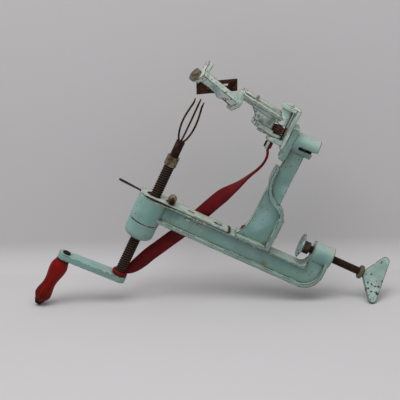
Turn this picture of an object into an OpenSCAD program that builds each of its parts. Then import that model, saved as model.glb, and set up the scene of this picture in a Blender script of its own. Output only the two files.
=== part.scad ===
// Hand cranked fruit peeler that clamps to a table edge.
// Every piece is drawn in a bench frame: x runs along the beam from the feed screw to the clamp,
// z runs along the feed screw towards the fork, and y is the depth, with the front at -y.
// The module stance() then turns the bench frame to the way the peeler stands on a surface.

/* [Stance] */
// Lean of the feed screw from upright when the peeler stands on its handle and wing
stance_tilt = 26.5; // [0:0.5:90]

/* [Fits] */
// Radial running clearance of a shaft in its bore
run_clear = 0.05; // [0.02:0.01:0.1]
// Radial clearance of pieces that are fixed together
fix_clear = 0.02; // [0.01:0.01:0.05]
// Gap between faces that turn or slide past each other
face_clear = 0.3; // [0.1:0.05:0.6]

/* [Beam casting] */
// Depth of the beam top below the datum of all heights
beam_drop = 4; // [3:0.5:6]
// Height of the beam
beam_h = 21; // [18:1:28]
// Depth of the beam across its rims
beam_d = 20; // [16:1:28]
// Thickness of the sunk web between the rims
web_t = 11; // [8:1:14]
// Height of the rim along the edges of the beam
rim_t = 3.5; // [2:0.5:5]
// Height of the rim along the top of the beam
rim_top_t = 1.8; // [1:0.1:4]
// Distance from the feed screw to the outer end of the heel
heel_x = 187; // [180:1:205]
// Outer radius of the heel
heel_r = 20; // [12:1:24]
// Width of the upright that carries the clamp boss
leg_w = 20; // [16:1:22]
// Radius of the inner corner between the beam and the upright
inner_r = 7; // [4:0.5:10]
// Diameter of the boss round the feed screw
feed_boss_d = 31; // [26:1:36]
// Height of the boss round the feed screw
feed_boss_h = 26; // [24:1:34]
// Diameter of the boss round the clamp screw
clamp_boss_d = 21; // [18:1:26]
// Length of the boss round the clamp screw
clamp_boss_len = 21; // [16:1:26]
// Height of the clamp screw above the datum
clamp_z = 13.5; // [12:0.5:18]

/* [Thread cap] */
// Diameter of the cap under the feed boss
cap_d = 30; // [24:1:31]
// Height of the cap under the feed boss
cap_h = 18; // [14:1:24]
// Radius of the rounded lower edge of the cap
cap_round = 6; // [2:0.5:8]
// Gap that shows between the boss and the cap
cap_gap = 0.8; // [0.4:0.1:1.5]
// Diameter of the spigot that holds the cap in the boss
cap_spigot_d = 20; // [16:1:23]
// Length of the spigot that holds the cap in the boss
cap_spigot_h = 8; // [5:1:12]

/* [Release plate] */
// Thickness of the release plate
plate_t = 2; // [1.5:0.1:2.5]
// Width of the release plate along the beam
plate_w = 18; // [14:1:19]
// Width of the release plate round the feed screw
plate_boss_w = 27; // [24:1:30]
// Distance from the feed screw to the end of the plate
plate_end_x = 83; // [78:1:84]
// Reach of the thumb tab from the feed screw
tab_reach = 40; // [34:1:48]
// Width of the thumb tab
tab_w = 5; // [4:0.5:14]
// Travel of the release plate
release_travel = 3; // [2:0.5:3.5]
// Place of the guide pin along the beam
guide_pin_x = 41; // [36:1:46]
// Diameter of the guide pin
guide_pin_d = 3; // [2.5:0.5:4]
// Place of the guide screw along the beam
guide_screw_x = 70; // [64:1:72]
// Shank diameter of the guide screw
guide_screw_d = 4; // [3:0.5:5]
// Head diameter of the guide screw
guide_head_d = 5.6; // [5.2:0.2:9]
// Place of the spring stud along the beam
stud_x = 17; // [16.5:0.5:24]
// Diameter of the spring stud
stud_d = 4; // [3:0.5:5]
// Diameter of the knob on the spring stud
stud_knob_d = 6.6; // [5.5:0.2:7.5]
// Diameter of the cross pin that carries the return spring
cross_pin_d = 3; // [2.4:0.2:3.4]
// Depth of the pins and studs in the beam
pin_depth = 9; // [6:1:12]

/* [Springs] */
// Wire of the return spring on the release plate
return_wire = 1.1; // [0.8:0.1:1.3]
// Turns of the return spring
return_turns = 3; // [2:1:4]
// Height of one turn of the return spring
return_pitch = 1.7; // [1.6:0.1:2]
// Wire of the torsion spring on the arm pivot
torsion_wire = 1.8; // [1.4:0.1:2]
// Turns of the torsion spring
torsion_turns = 3; // [2:1:3]
// Height of one turn of the torsion spring
torsion_pitch = 2.3; // [2.3:0.1:2.8]
// Middle radius of the torsion spring
torsion_r = 6.2; // [4.8:0.1:6.3]

/* [Post casting] */
// Distance from the feed screw to the left end of the foot
post_foot_x = 89; // [88:0.5:92]
// Distance from the feed screw to the fixed jaw face
jaw_x = 126; // [120:1:132]
// Height of the fixed jaw above the beam
jaw_h = 36; // [30:1:40]
// Depth of the fixed jaw
jaw_d = 24; // [20:1:30]
// Thickness of the fixed jaw wall
jaw_t = 5; // [4:0.5:7]
// Thickness of the foot flange
foot_t = 3; // [2.5:0.5:6]
// Thickness of the post web
post_web_t = 10; // [8:1:14]
// Left edge of the post stem
stem_x = 97; // [96:0.5:100]
// Width of the post stem
stem_w = 18.5; // [16:0.5:22]
// Height of the boss at the top of the post above the datum
top_boss_z = 107.5; // [104:0.5:112]
// Diameter of the boss at the top of the post
top_boss_d = 21; // [20:0.5:24]
// Length of the boss at the top of the post
top_boss_len = 22; // [20:1:26]
// Height of the flange at the top of the post
top_flange_h = 35; // [30:1:44]
// Thickness of the flange at the top of the post
top_flange_t = 6; // [4:0.5:7]
// Depth of the flange at the top of the post
top_flange_d = 22; // [18:1:26]
// Width of the slit in the boss
slit_w = 3; // [2:0.5:4]
// Shank diameter of the screws that hold the post
post_screw_d = 5; // [4:0.5:6]
// Distance between the screws that hold the post
post_screw_gap = 20; // [16:1:22]

/* [Pivot bracket] */
// Distance from the feed screw to the arm pivot
pivot_x = 81.5; // [78:0.5:84]
// Underside of the lower ear above the datum
ear_low_z = 99; // [97:0.5:101]
// Thickness of the lower ear
ear_low_t = 5; // [4:0.5:6]
// Clear height between the ears
ear_gap = 30; // [29:0.5:33]
// Thickness of the upper ear
ear_high_t = 4; // [3:0.5:5]
// Width of the ears
ear_w = 16; // [14:1:20]
// Thickness of the back plate
back_t = 4; // [3:0.5:4.5]
// Depth of the back plate
back_d = 20; // [16:1:24]
// Diameter of the pivot pin
pivot_pin_d = 5; // [4:0.5:6]
// Diameter of the stud that holds the bracket in the post
bracket_stud_d = 12; // [10:0.5:13]
// Thread diameter of the stud
bracket_thread_d = 8; // [6:0.5:9]
// Thickness of the nut on the stud
stud_nut_t = 5; // [4:0.5:6]
// Width of the nut across its corners
stud_nut_d = 14; // [12:0.5:14.5]

/* [Blade arm] */
// Swing of the arm towards the front when the peeler is at rest
arm_rest_angle = 18; // [12:1:30]
// Slope of the blade carrier on the arm
carrier_slope = 17; // [10:1:22]
// Distance from the pivot to the right ear of the blade carrier
carrier_p = 57; // [54:0.5:60]
// Height of the blade axis at the right ear
carrier_z = 118.6; // [116:0.2:126]
// Length of the blade carrier over its ears
carrier_len = 45.5; // [42:0.5:54]
// Thickness of the carrier ears
carrier_ear_t = 4.8; // [4:0.2:6]
// Width of the upper side of the angle bar
bar_high_w = 6.8; // [6:0.2:11]
// Width of the lower side of the angle bar
bar_low_w = 8.8; // [7:0.2:12]
// Wall of the angle bar
bar_t = 2.6; // [2:0.1:3.5]
// Distance of the ridge of the angle bar from the blade axis
ridge_q = 12; // [11:0.5:14]
// Thickness of the arm struts
strut_t = 4.5; // [3.5:0.5:6]
// Width of the leaning flange along the top of the arm
arm_flange_w = 11; // [8:0.5:12]
// Thickness of the leaning flange
arm_flange_t = 2.4; // [2:0.2:3]
// Lean of the flange towards the front
arm_flange_lean = 25; // [0:1:40]
// Diameter of the stop pin on the flange
stop_pin_d = 2.6; // [2:0.2:3.4]
// Diameter of the arm hub
hub_d = 12; // [10:0.5:14]
// Height of the arm hub
hub_h = 16; // [14:0.5:16]
// Thickness of the lower eye of the arm
eye_t = 3; // [2.5:0.5:4]

/* [Blade] */
// Diameter of the blade pin
blade_pin_d = 4; // [3:0.5:5]
// Diameter of the head of the blade pin
blade_head_d = 13; // [10:0.5:14]
// Length of the head of the blade pin
blade_head_len = 3.6; // [3:0.2:8]
// Thickness of the blade
blade_t = 1.2; // [0.8:0.1:1.6]
// Distance of the blade behind its axis
blade_q = 4.6; // [4.2:0.2:6]
// Width of the blade
blade_w = 12; // [10:1:16]
// Length of the blade
blade_len = 40; // [34:1:42]
// Skew of the blade to its axis
blade_skew = 43; // [36:1:50]
// Wall of the knuckles round the blade pin
knuckle_wall = 1.3; // [1:0.1:1.6]

/* [Feed screw and fork] */
// Diameter of the feed screw
screw_d = 11; // [9:0.5:12]
// Length of the thread above the datum
screw_above = 33; // [30:0.5:40]
// Length of the thread below the datum
screw_below = 95; // [86:0.5:98]
// Diameter of the fork collar
collar_d = 12.6; // [12:0.2:15]
// Length of the fork collar
collar_len = 10; // [8:0.5:12]
// Diameter of the ferrule that holds the prongs
ferrule_d = 8.8; // [8:0.2:10]
// Length of the ferrule
ferrule_len = 17; // [14:0.5:20]
// Diameter of the tang that holds the fork on the screw
tang_d = 5; // [4:0.5:6]
// Wire of the prongs
prong_d = 2; // [1.6:0.1:2.4]
// Length of the prongs
prong_len = 46; // [38:1:52]
// Depth of the prongs in the ferrule
prong_seat = 5; // [3:0.5:8]
// Greatest distance of a prong from the axis
prong_bulge = 7.6; // [6:0.2:9]
// Distance of the prong tips from the axis
prong_tip_r = 4; // [3:0.2:6]

/* [Crank] */
// Radius of the crank
crank_r = 58; // [50:1:70]
// Turn of the crank towards the front at rest
crank_rest_angle = 6; // [0:1:30]
// Thickness of the crank arm
crank_t = 6; // [5:0.5:8]
// Radius of the crank arm at the screw
crank_hub_r = 8.5; // [7.5:0.5:10]
// Radius of the crank arm at the handle
crank_end_r = 7; // [6:0.5:8]
// Length of the handle
handle_len = 53; // [44:1:64]
// Largest diameter of the handle
handle_d = 18; // [15:0.5:22]
// Diameter of the waist of the handle
handle_waist_d = 12.8; // [11:0.2:15]
// Lean of the handle away from the feed screw
handle_lean = 6; // [0:0.5:8]
// Diameter of the handle pin
handle_pin_d = 5; // [4:0.5:6]
// Diameter of the end nut of the handle
end_nut_d = 9.5; // [8:0.5:11]
// Height of the end nut of the handle
end_nut_h = 3; // [2:0.5:4]

/* [Strap] */
// Outer diameter of the eyelet round the feed screw
eyelet_d = 16; // [14.5:0.5:18]
// Height of the eyelet
eyelet_h = 4.5; // [4:0.5:6]
// Width of the strap
strap_w = 14.5; // [12:0.5:16]
// Thickness of the strap
strap_t = 2.4; // [1.6:0.1:2.6]
// Diameter of the strap rivet
strap_rivet_d = 3.5; // [3:0.5:4.5]

/* [Table clamp] */
// Diameter of the clamp screw
clamp_d = 8; // [6:0.5:9]
// Place of the tip of the clamp screw along the beam
clamp_tip_x = 158; // [156:0.5:160]
// Place of the collar of the clamp screw along the beam
clamp_collar_x = 219; // [214:1:226]
// Diameter of the collar of the clamp screw
clamp_collar_d = 14; // [12:0.5:16]
// Length of the collar of the clamp screw
clamp_collar_len = 4; // [3:0.5:5]
// Length of the wing
wing_len = 23; // [18:1:28]
// Half span of the wing
wing_half = 25.5; // [20:0.5:30]
// Radius of the rounded wing tips
wing_tip_r = 4.5; // [3:0.5:6]
// Thickness of the wing
wing_t = 3; // [2:0.5:4]
// Turn of the wing with its lower tip to the front
wing_angle = 36; // [0:1:60]
// Diameter of the pressure pad
pad_d = 26; // [22:1:27]
// Thickness of the pressure pad
pad_t = 2; // [1.5:0.1:3]
// Distance of the pad face and of the socket mouth from the tip of the clamp screw
pad_seat = 5; // [4:0.5:7]
// Depth of the dish in the pressure pad
pad_dish = 2; // [1:0.1:3]
// Diameter of the socket behind the pressure pad
pad_socket_d = 12.5; // [11:0.5:14]

/* [Hidden] */
$fn = 48;

enamel = "#9fc4b8";
rust = "#4a3226";
bare_steel = "#8a837a";
red_paint = "#9a1614";
red_rubber = "#7c1014";

beam_top = -beam_drop;
plate_top = beam_top + plate_t;
beam_bottom = beam_top - beam_h;
leg_x = heel_x - leg_w;
return_r = (cross_pin_d + return_wire) / 2 + face_clear + 0.1;
cross_z = plate_top + face_clear + return_r + return_wire / 2;
return_y = -(stud_knob_d + return_wire) / 2 - face_clear;
cross_reach = -return_y + return_turns * return_pitch + return_wire / 2;
clamp_boss_x = heel_x + 1 - clamp_boss_len;
boss_bottom = beam_top - feed_boss_h;
cap_top = boss_bottom - cap_gap;
cap_bottom = cap_top - cap_h;
screw_bore_d = screw_d + 2 * run_clear;
clamp_bore_d = clamp_d + 2 * run_clear;
jaw_mid_z = beam_top + jaw_h / 2;

post_screw_x = [jaw_x - jaw_t - 7 - post_screw_gap, jaw_x - jaw_t - 7];
post_screw_head_d = 9;
post_screw_head_h = 4;
post_screw_reach = 12;

flange_x = stem_x - 3.8;
back_x = flange_x - back_t;
ear_low_top = ear_low_z + ear_low_t;
ear_high_z = ear_low_top + ear_gap;
ear_high_top = ear_high_z + ear_high_t;
top_boss_x = flange_x + top_flange_t;
top_boss_end = top_boss_x + top_boss_len;
nut_x = top_boss_end - stud_nut_t - 1;
lug_x = pivot_x - 5;
lug_t = 2.5;
lug_w = 12;
lug_h = 9;
lug_mid_z = ear_low_z - 5.2;
strap_end_x = lug_x + lug_t;
strap_mid_x = strap_end_x + strap_t / 2;
strap_end_w = lug_w - 1;
rivet_head_d = strap_rivet_d + 3;
strap_flat_z = lug_mid_z - rivet_head_d / 2 - 1.4;

eye_z = ear_low_top + face_clear;
hub_z = ear_high_z - face_clear - hub_h;
torsion_z = eye_z + eye_t + face_clear + torsion_wire / 2;

crank_top = -screw_below;
crank_bottom = crank_top - crank_t;
handle_top = crank_bottom - 0.8;
eyelet_z = crank_top + face_clear;
collar_z = screw_above;
ferrule_z = collar_z + collar_len;
prong_z = ferrule_z + ferrule_len;
prong_rise = 1.5;

clamp_end_x = clamp_collar_x + clamp_collar_len;
pad_face_x = clamp_tip_x - pad_seat;
pad_back_x = pad_face_x + pad_dish + pad_t;
pad_socket_x = clamp_tip_x + pad_seat;

// Route of the middle of the strap and the turn of its width there, 0 for a width that is upright
strap_route = [
    [7, 3, -90], [11, 6.5, -84.5], [16, 10, -75.5], [21, 11.6, -65], [27, 12.4, -54], [33, 12.8, -42.5],
    [39, 13, -31], [46, 13, -15], [52.5, 12.6, 1], [60.5, 10, 20], [66, 7.6, 31], [71, 5.8, 41],
    [77, 3.8, 56], [81.5, 2.6, 67], [83.3, 1.7, 75], [83.2, 0.8, 82], [strap_mid_x + 1.6, 0, strap_flat_z - 3],
    [strap_mid_x, 0, strap_flat_z], [strap_mid_x, 0, strap_flat_z + 1], [strap_mid_x, 0, lug_mid_z + 4]
];
strap_widths = concat([8, 11, 13], [for (i = [1 : 12]) strap_w],
    [13, 12, strap_end_w, strap_end_w, strap_end_w]);
strap_turns = [0, 0, 0, 0, 0, 0, 0, 0, 4, 22, 56, 80, 98, 100, 98, 95, 92, 90, 90, 90];

// Middle line of the raised rib on the post, from its top down into the jaw
rib_route = [
    [97.5, 77], [97, 68], [97.8, 60], [100.5, 53], [105, 47.5], [111, 43], [117, 39.5], [122, 35.5],
    [124.3, 31]
];
rib_w = 3.6;

// Turns the bench frame to the stance, with the middle of the fixed jaw face at the origin
module stance() {
    rotate([0, stance_tilt, 0])
        translate([-jaw_x, 0, -jaw_mid_z])
            children();
}

// Turns the arm's own frame to its place: x away from the pivot along the arm, y to the back, z up
module on_arm() {
    translate([pivot_x, 0, 0])
        rotate([0, 0, 180 + arm_rest_angle])
            children();
}

// Frame of the blade carrier: x along the blade axis, y to the front, z square to both
module on_carrier() {
    on_arm()
        translate([carrier_p, 0, carrier_z])
            rotate([0, -carrier_slope, 0])
                children();
}

// Extrudes a drawing of x and z evenly to both sides of y = 0
module plate_xz(depth) {
    rotate([90, 0, 0])
        linear_extrude(height = depth, center = true)
            children();
}

// Cylinder along x from x0 to x1
module rod_x(x0, x1, d) {
    translate([x0, 0, 0])
        rotate([0, 90, 0])
            cylinder(h = x1 - x0, d = d);
}

// Sides of a bar between two round ends, which run just inside both circles
skim = 0.997;
module bar_sides(p, r, q, s) {
    run = q - p;
    turn = atan2(run[1], run[0]);
    lean = acos((r - s) / norm(run));
    polygon([
        p + skim * r * [cos(turn + lean), sin(turn + lean)],
        q + skim * s * [cos(turn + lean), sin(turn + lean)],
        q + skim * s * [cos(turn - lean), sin(turn - lean)],
        p + skim * r * [cos(turn - lean), sin(turn - lean)]
    ]);
}

// Flat bar between two round ends
module round_bar(p, r, q, s) {
    translate(p) circle(r = r);
    translate(q) circle(r = s);
    bar_sides(p, r, q, s);
}

// The same bar as a solid of height h, joined from its two ends and its sides
module bar_solid(h, p, r, q, s) {
    translate(p) cylinder(h = h, r = r);
    translate(q) cylinder(h = h, r = s);
    linear_extrude(height = h) bar_sides(p, r, q, s);
}

// Cutter for a slot with round ends along x
module slot_x(x0, x1, w, h) {
    for (x = [x0, x1]) translate([x, 0, 0]) cylinder(h = h, d = w);
    translate([x0, -skim * w / 2, 0]) cube([x1 - x0, skim * w, h]);
}

// Fillet that fills a right angled corner towards +x and +y
module corner_fill(r) {
    difference() {
        square(r);
        translate([r, r]) circle(r = r);
    }
}

// Tube with round section along a list of points, closed at both ends
function unit(v) = v / norm(v);
function lead(path, i) = unit(path[min(i + 1, len(path) - 1)] - path[max(i - 1, 0)]);
module tube(path, d, sides, side_way) {
    n = len(path);
    rings = [for (i = [0 : n - 1])
        let (t = lead(path, i), a = unit(cross(t, side_way)), b = cross(a, t))
        for (k = [0 : sides - 1])
            path[i] + d / 2 * (cos(360 * k / sides) * a + sin(360 * k / sides) * b)];
    walls = [for (i = [0 : n - 2], k = [0 : sides - 1])
        let (a = i * sides + k, b = i * sides + (k + 1) % sides)
        for (f = [[a, b, b + sides], [a, b + sides, a + sides]]) f];
    ends = [for (k = [1 : sides - 2])
        for (f = [[0, k + 1, k], [(n - 1) * sides, (n - 1) * sides + k, (n - 1) * sides + k + 1]]) f];
    polyhedron(points = rings, faces = concat(walls, ends));
}

// Points of a helix round z with straight legs that leave it along y
function coil(r, pitch, turns, leg, steps) = concat(
    [[r, -leg, 0], [r, -leg / 2, 0]],
    [for (i = [0 : steps * turns])
        [r * cos(360 * i / steps), r * sin(360 * i / steps), pitch * i / steps]],
    [[r, leg / 2, pitch * turns], [r, leg, pitch * turns]]);
function coil_gap(path, wire, steps) = min([for (i = [2 : len(path) - steps])
    for (j = [i + steps - 2 : min(i + steps + 2, len(path) - 3)]) norm(path[i] - path[j])]) - wire;
coil_steps = 12;
return_path = coil(return_r, return_pitch, return_turns, return_wire * 2, coil_steps);
torsion_path = coil(torsion_r, torsion_pitch, torsion_turns, torsion_wire * 2, coil_steps);
echo(return_spring_gap = coil_gap(return_path, return_wire, coil_steps));
echo(torsion_spring_gap = coil_gap(torsion_path, torsion_wire, coil_steps));

// Outline of the beam with its heel and the upright of the clamp, drawn inwards by an inset
module frame_outline(inset, top_inset) {
    r = heel_r - inset;
    right = heel_x - inset;
    low = beam_bottom + inset;
    high = beam_top - top_inset;
    translate([inset, low]) square([right - r - inset, high - low]);
    translate([right - r, low + r]) intersection() {
        circle(r = r);
        translate([0, -r]) square(r);
    }
    translate([leg_x + inset, low + r]) square([leg_w - 2 * inset, clamp_z - low - r]);
    translate([right - r, low + r]) square([r, max(clamp_z - low - r, 0.01)]);
    if (inset == 0)
        translate([leg_x, beam_top]) mirror([1, 0]) corner_fill(inner_r);
}

module main_frame() {
    color(enamel)
    difference() {
        union() {
            plate_xz(web_t) frame_outline(0, 0);
            plate_xz(beam_d) difference() {
                frame_outline(0, 0);
                frame_outline(rim_t, rim_top_t);
            }
            translate([0, 0, boss_bottom]) cylinder(h = feed_boss_h, d = feed_boss_d);
            translate([0, 0, clamp_z]) rod_x(clamp_boss_x, clamp_boss_x + clamp_boss_len, clamp_boss_d);
        }
        translate([0, 0, boss_bottom - 1]) cylinder(h = feed_boss_h + 2, d = screw_bore_d);
        translate([0, 0, boss_bottom - 1])
            cylinder(h = cap_spigot_h + 1 + face_clear, d = cap_spigot_d + 2 * fix_clear);
        translate([0, 0, clamp_z])
            rod_x(clamp_boss_x - 1, clamp_boss_x + clamp_boss_len + 1, clamp_bore_d);
        for (x = post_screw_x) translate([x, 0, beam_bottom - 1]) {
            cylinder(h = beam_h + 2, d = post_screw_d + 2 * fix_clear);
            cylinder(h = post_screw_head_h + 1, d = post_screw_head_d + 2 * fix_clear);
        }
        for (hole = [[guide_pin_x, guide_pin_d], [guide_screw_x, guide_screw_d], [stud_x, stud_d]])
            translate([hole[0], 0, beam_top - pin_depth])
                cylinder(h = pin_depth + 1, d = hole[1] + 2 * fix_clear);
    }
}

module thread_cap() {
    color(enamel)
    difference() {
        union() {
            rotate_extrude() {
                translate([0, cap_bottom]) square([cap_d / 2 - cap_round, cap_h]);
                translate([0, cap_bottom + cap_round]) square([cap_d / 2, cap_h - cap_round]);
                translate([cap_d / 2 - cap_round, cap_bottom + cap_round]) intersection() {
                    circle(r = cap_round);
                    translate([0, -cap_round]) square(cap_round);
                }
            }
            translate([0, 0, cap_top - 1]) cylinder(h = cap_gap + cap_spigot_h + 1, d = cap_spigot_d);
        }
        translate([0, 0, cap_bottom - 1])
            cylinder(h = cap_h + cap_gap + cap_spigot_h + 2, d = screw_bore_d);
    }
}

// Flat strip of even width along a list of points
module strip(path, w) {
    n = len(path);
    side = [for (i = [0 : n - 1])
        let (t = unit(path[min(i + 1, n - 1)] - path[max(i - 1, 0)])) [-t[1], t[0]] * w / 2];
    polygon(concat(
        [for (i = [0 : n - 1]) path[i] + side[i]],
        [for (i = [n - 1 : -1 : 0]) path[i] - side[i]]));
}

module post_outline() {
    steps = 8;
    top = top_boss_z - 8;
    neck_z = beam_top + jaw_h + 13;
    function up(share) = beam_top + share * (top - beam_top);
    right = stem_x + stem_w;
    polygon(concat(
        [[post_foot_x, beam_top], [jaw_x, beam_top], [jaw_x, beam_top + jaw_h]],
        [for (i = [0 : steps]) let (u = i / steps)
            [right + (jaw_x - right) * pow(1 - u, 2), beam_top + jaw_h + (neck_z - beam_top - jaw_h) * u]],
        [[right, top], [stem_x + 3, top], [stem_x + 2.5, up(0.735)], [stem_x, up(0.52)], [stem_x, up(0.3)]],
        [for (i = [0 : steps]) let (u = i / steps)
            [stem_x - 1.5 * u - (stem_x - 1.5 - post_foot_x) * u * u * u,
             up(0.28) + (beam_top + foot_t - up(0.28)) * u]]));
}

module post() {
    slit_x = top_boss_x + 7;
    bore_d = bracket_stud_d + 2 * fix_clear;
    lip = 4;
    color(enamel)
    difference() {
        union() {
            plate_xz(post_web_t) post_outline();
            translate([post_foot_x, -jaw_d / 2, beam_top]) cube([jaw_x - post_foot_x, jaw_d, foot_t]);
            translate([jaw_x - jaw_t, -jaw_d / 2, beam_top]) cube([jaw_t, jaw_d, jaw_h]);
            plate_xz(post_web_t + 8) strip(rib_route, rib_w);
            translate([flange_x, -top_flange_d / 2, top_boss_z - top_flange_h / 2 - 3])
                cube([top_flange_t, top_flange_d, top_flange_h]);
            translate([0, 0, top_boss_z]) rod_x(top_boss_x - 1, top_boss_end, top_boss_d);
            intersection() {
                translate([0, 0, top_boss_z]) rod_x(top_boss_end - 1, top_boss_end + lip, top_boss_d);
                translate([top_boss_end - 1, -top_boss_d, top_boss_z]) cube(top_boss_d * 2);
            }
        }
        translate([0, 0, top_boss_z]) rod_x(flange_x - 1, nut_x, bore_d);
        translate([0, 0, top_boss_z]) rod_x(nut_x - 0.01, top_boss_end + lip + 1, stud_nut_d + 1);
        translate([slit_x, -top_boss_d, top_boss_z - slit_w - 0.5])
            cube([top_boss_len + lip, top_boss_d, slit_w]);
        for (x = post_screw_x) translate([x, 0, beam_top - 1])
            cylinder(h = post_screw_reach + 1, d = post_screw_d + 2 * fix_clear);
    }
}

module post_screws() {
    color(rust)
    for (x = post_screw_x) translate([x, 0, beam_bottom]) {
        cylinder(h = beam_h + post_screw_reach - 1, d = post_screw_d);
        difference() {
            cylinder(h = post_screw_head_h, d = post_screw_head_d);
            translate([-post_screw_head_d, -0.6, -1]) cube([2 * post_screw_head_d, 1.2, 2]);
        }
    }
}

module guide_pin() {
    color(rust)
        translate([guide_pin_x, 0, beam_top - pin_depth])
            cylinder(h = pin_depth + plate_t - 0.4, d = guide_pin_d);
}

module guide_screw() {
    head_h = 1.6;
    color(rust) {
        translate([guide_screw_x, 0, beam_top - pin_depth])
            cylinder(h = pin_depth + plate_t + face_clear + head_h / 2, d = guide_screw_d);
        translate([guide_screw_x, 0, plate_top + face_clear]) cylinder(h = head_h, d = guide_head_d);
    }
}

module spring_stud() {
    low = beam_top - pin_depth;
    knob_h = cross_pin_d + 2;
    color(rust) translate([stud_x, 0, 0]) {
        translate([0, 0, low]) cylinder(h = cross_z - low, d = stud_d);
        translate([0, 0, cross_z - knob_h / 2])
            cylinder(h = knob_h, d1 = stud_knob_d - 1, d2 = stud_knob_d);
        translate([0, 0, cross_z]) rotate([90, 0, 0]) cylinder(h = cross_reach, d = cross_pin_d);
    }
}

module return_spring() {
    color(rust)
        translate([stud_x, return_y, cross_z]) rotate([90, 0, 0])
            tube(return_path, return_wire, 6, [0.2, 0.1, 1]);
}

module release_plate() {
    pin_slot = guide_pin_d + 2 * face_clear;
    screw_slot = guide_screw_d + 2 * face_clear;
    stud_slot = stud_d + 2 * face_clear;
    waist_x = 26;
    corner_r = 3;
    slots = [[0, screw_bore_d], [guide_pin_x, pin_slot], [guide_screw_x, screw_slot], [stud_x, stud_slot]];
    color(enamel) translate([0, 0, beam_top]) difference() {
        union() {
            cylinder(h = plate_t, d = plate_boss_w);
            bar_solid(plate_t, [-tab_reach + tab_w / 2, 0], tab_w / 2, [0, 0], plate_w / 2);
            translate([0, -plate_w / 2, 0]) cube([plate_end_x - corner_r, plate_w, plate_t]);
            translate([0, corner_r - plate_w / 2, 0]) cube([plate_end_x, plate_w - 2 * corner_r, plate_t]);
            for (s = [-1, 1]) translate([plate_end_x - corner_r, s * (plate_w / 2 - corner_r), 0])
                cylinder(h = plate_t, r = corner_r);
            linear_extrude(height = plate_t) polygon([
                [0, -skim * plate_boss_w / 2], [waist_x, 0.1 - plate_w / 2],
                [waist_x, plate_w / 2 - 0.1], [0, skim * plate_boss_w / 2]
            ]);
        }
        for (slot = slots) translate([slot[0], 0, -1])
            slot_x(-release_travel, 0, slot[1], plate_t + 2);
    }
}

module ear(z, t) {
    translate([0, 0, z]) linear_extrude(height = t) difference() {
        union() {
            translate([pivot_x, 0]) circle(d = ear_w);
            translate([pivot_x, -ear_w / 2]) square([back_x - pivot_x + 1, ear_w]);
        }
        translate([pivot_x, 0]) circle(d = pivot_pin_d + 2 * fix_clear);
    }
}

module pivot_bracket() {
    color(enamel)
    difference() {
        union() {
            translate([back_x, -back_d / 2, ear_low_z - 2])
                cube([back_t, back_d, ear_high_top - ear_low_z + 2]);
            ear(ear_low_z, ear_low_t);
            ear(ear_high_z, ear_high_t);
            translate([0, 0, top_boss_z]) rod_x(flange_x - 1, nut_x - 0.2, bracket_stud_d);
            translate([0, 0, top_boss_z]) rod_x(nut_x - 1, top_boss_end - 0.5, bracket_thread_d);
            translate([lug_x, -lug_w / 2, ear_low_z - lug_h]) cube([lug_t, lug_w, lug_h + 1]);
        }
        translate([0, 0, lug_mid_z]) rod_x(lug_x - 1, lug_x + lug_t + 1, strap_rivet_d + 2 * fix_clear);
    }
}

module stud_nut() {
    color(rust)
    difference() {
        translate([nut_x, 0, top_boss_z]) rotate([0, 90, 0])
            cylinder(h = stud_nut_t, d = stud_nut_d, $fn = 6);
        translate([0, 0, top_boss_z])
            rod_x(nut_x - 1, nut_x + stud_nut_t + 1, bracket_thread_d + 2 * fix_clear);
    }
}

module pivot_pin() {
    head_h = 1.8;
    color(rust) translate([pivot_x, 0, 0]) {
        translate([0, 0, ear_low_z - 0.5]) cylinder(h = ear_high_top - ear_low_z + 1, d = pivot_pin_d);
        translate([0, 0, ear_high_top]) cylinder(h = head_h, d1 = pivot_pin_d + 4, d2 = pivot_pin_d + 2);
    }
}

module torsion_spring() {
    color(rust)
        translate([pivot_x, 0, torsion_z])
            tube(torsion_path, torsion_wire, 6, [0.2, 0.1, 1]);
}

module strap_rivet() {
    head_t = 1.2;
    color(rust) translate([0, 0, lug_mid_z]) {
        rod_x(lug_x - head_t, strap_end_x + strap_t + head_t, strap_rivet_d);
        rod_x(lug_x - head_t, lug_x, rivet_head_d);
        rod_x(strap_end_x + strap_t, strap_end_x + strap_t + head_t, rivet_head_d);
    }
}

// Flat band swept along the strap's route, with its width turned by the angle given at each point
module band(path, widths, turns, t) {
    n = len(path);
    rings = [for (i = [0 : n - 1])
        let (run = lead(path, i), up = [0, 1, 0], flat = unit(cross(run, up)), out = cross(flat, run),
             w = widths[i] / 2 * (cos(turns[i]) * flat + sin(turns[i]) * out),
             h = t / 2 * (cos(turns[i]) * out - sin(turns[i]) * flat))
        for (c = [w + h, h - w, -w - h, w - h]) path[i] + c];
    walls = [for (i = [0 : n - 2], k = [0 : 3])
        let (a = 4 * i + k, b = 4 * i + (k + 1) % 4)
        for (f = [[a, b + 4, b], [a, a + 4, b + 4]]) f];
    last = 4 * (n - 1);
    polyhedron(points = rings,
        faces = concat(walls, [[0, 1, 2], [0, 2, 3],
            [last, last + 2, last + 1], [last, last + 3, last + 2]]));
}

module strap_band() {
    color(red_rubber)
    difference() {
        band(strap_route, strap_widths, strap_turns, strap_t);
        translate([0, 0, lug_mid_z]) rod_x(lug_x, strap_end_x + strap_t + 1, strap_rivet_d + 2 * fix_clear);
        translate([0, 0, eyelet_z - 1]) cylinder(h = eyelet_h + 2, d = eyelet_d + 2 * fix_clear);
        translate([0, 0, eyelet_z]) cylinder(h = strap_w, d = screw_d + 2 * face_clear);
    }
}

module strap_eyelet() {
    color(red_rubber)
    difference() {
        translate([0, 0, eyelet_z]) cylinder(h = eyelet_h, d = eyelet_d);
        translate([0, 0, eyelet_z - 1]) cylinder(h = eyelet_h + 2, d = screw_bore_d);
    }
}

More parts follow.
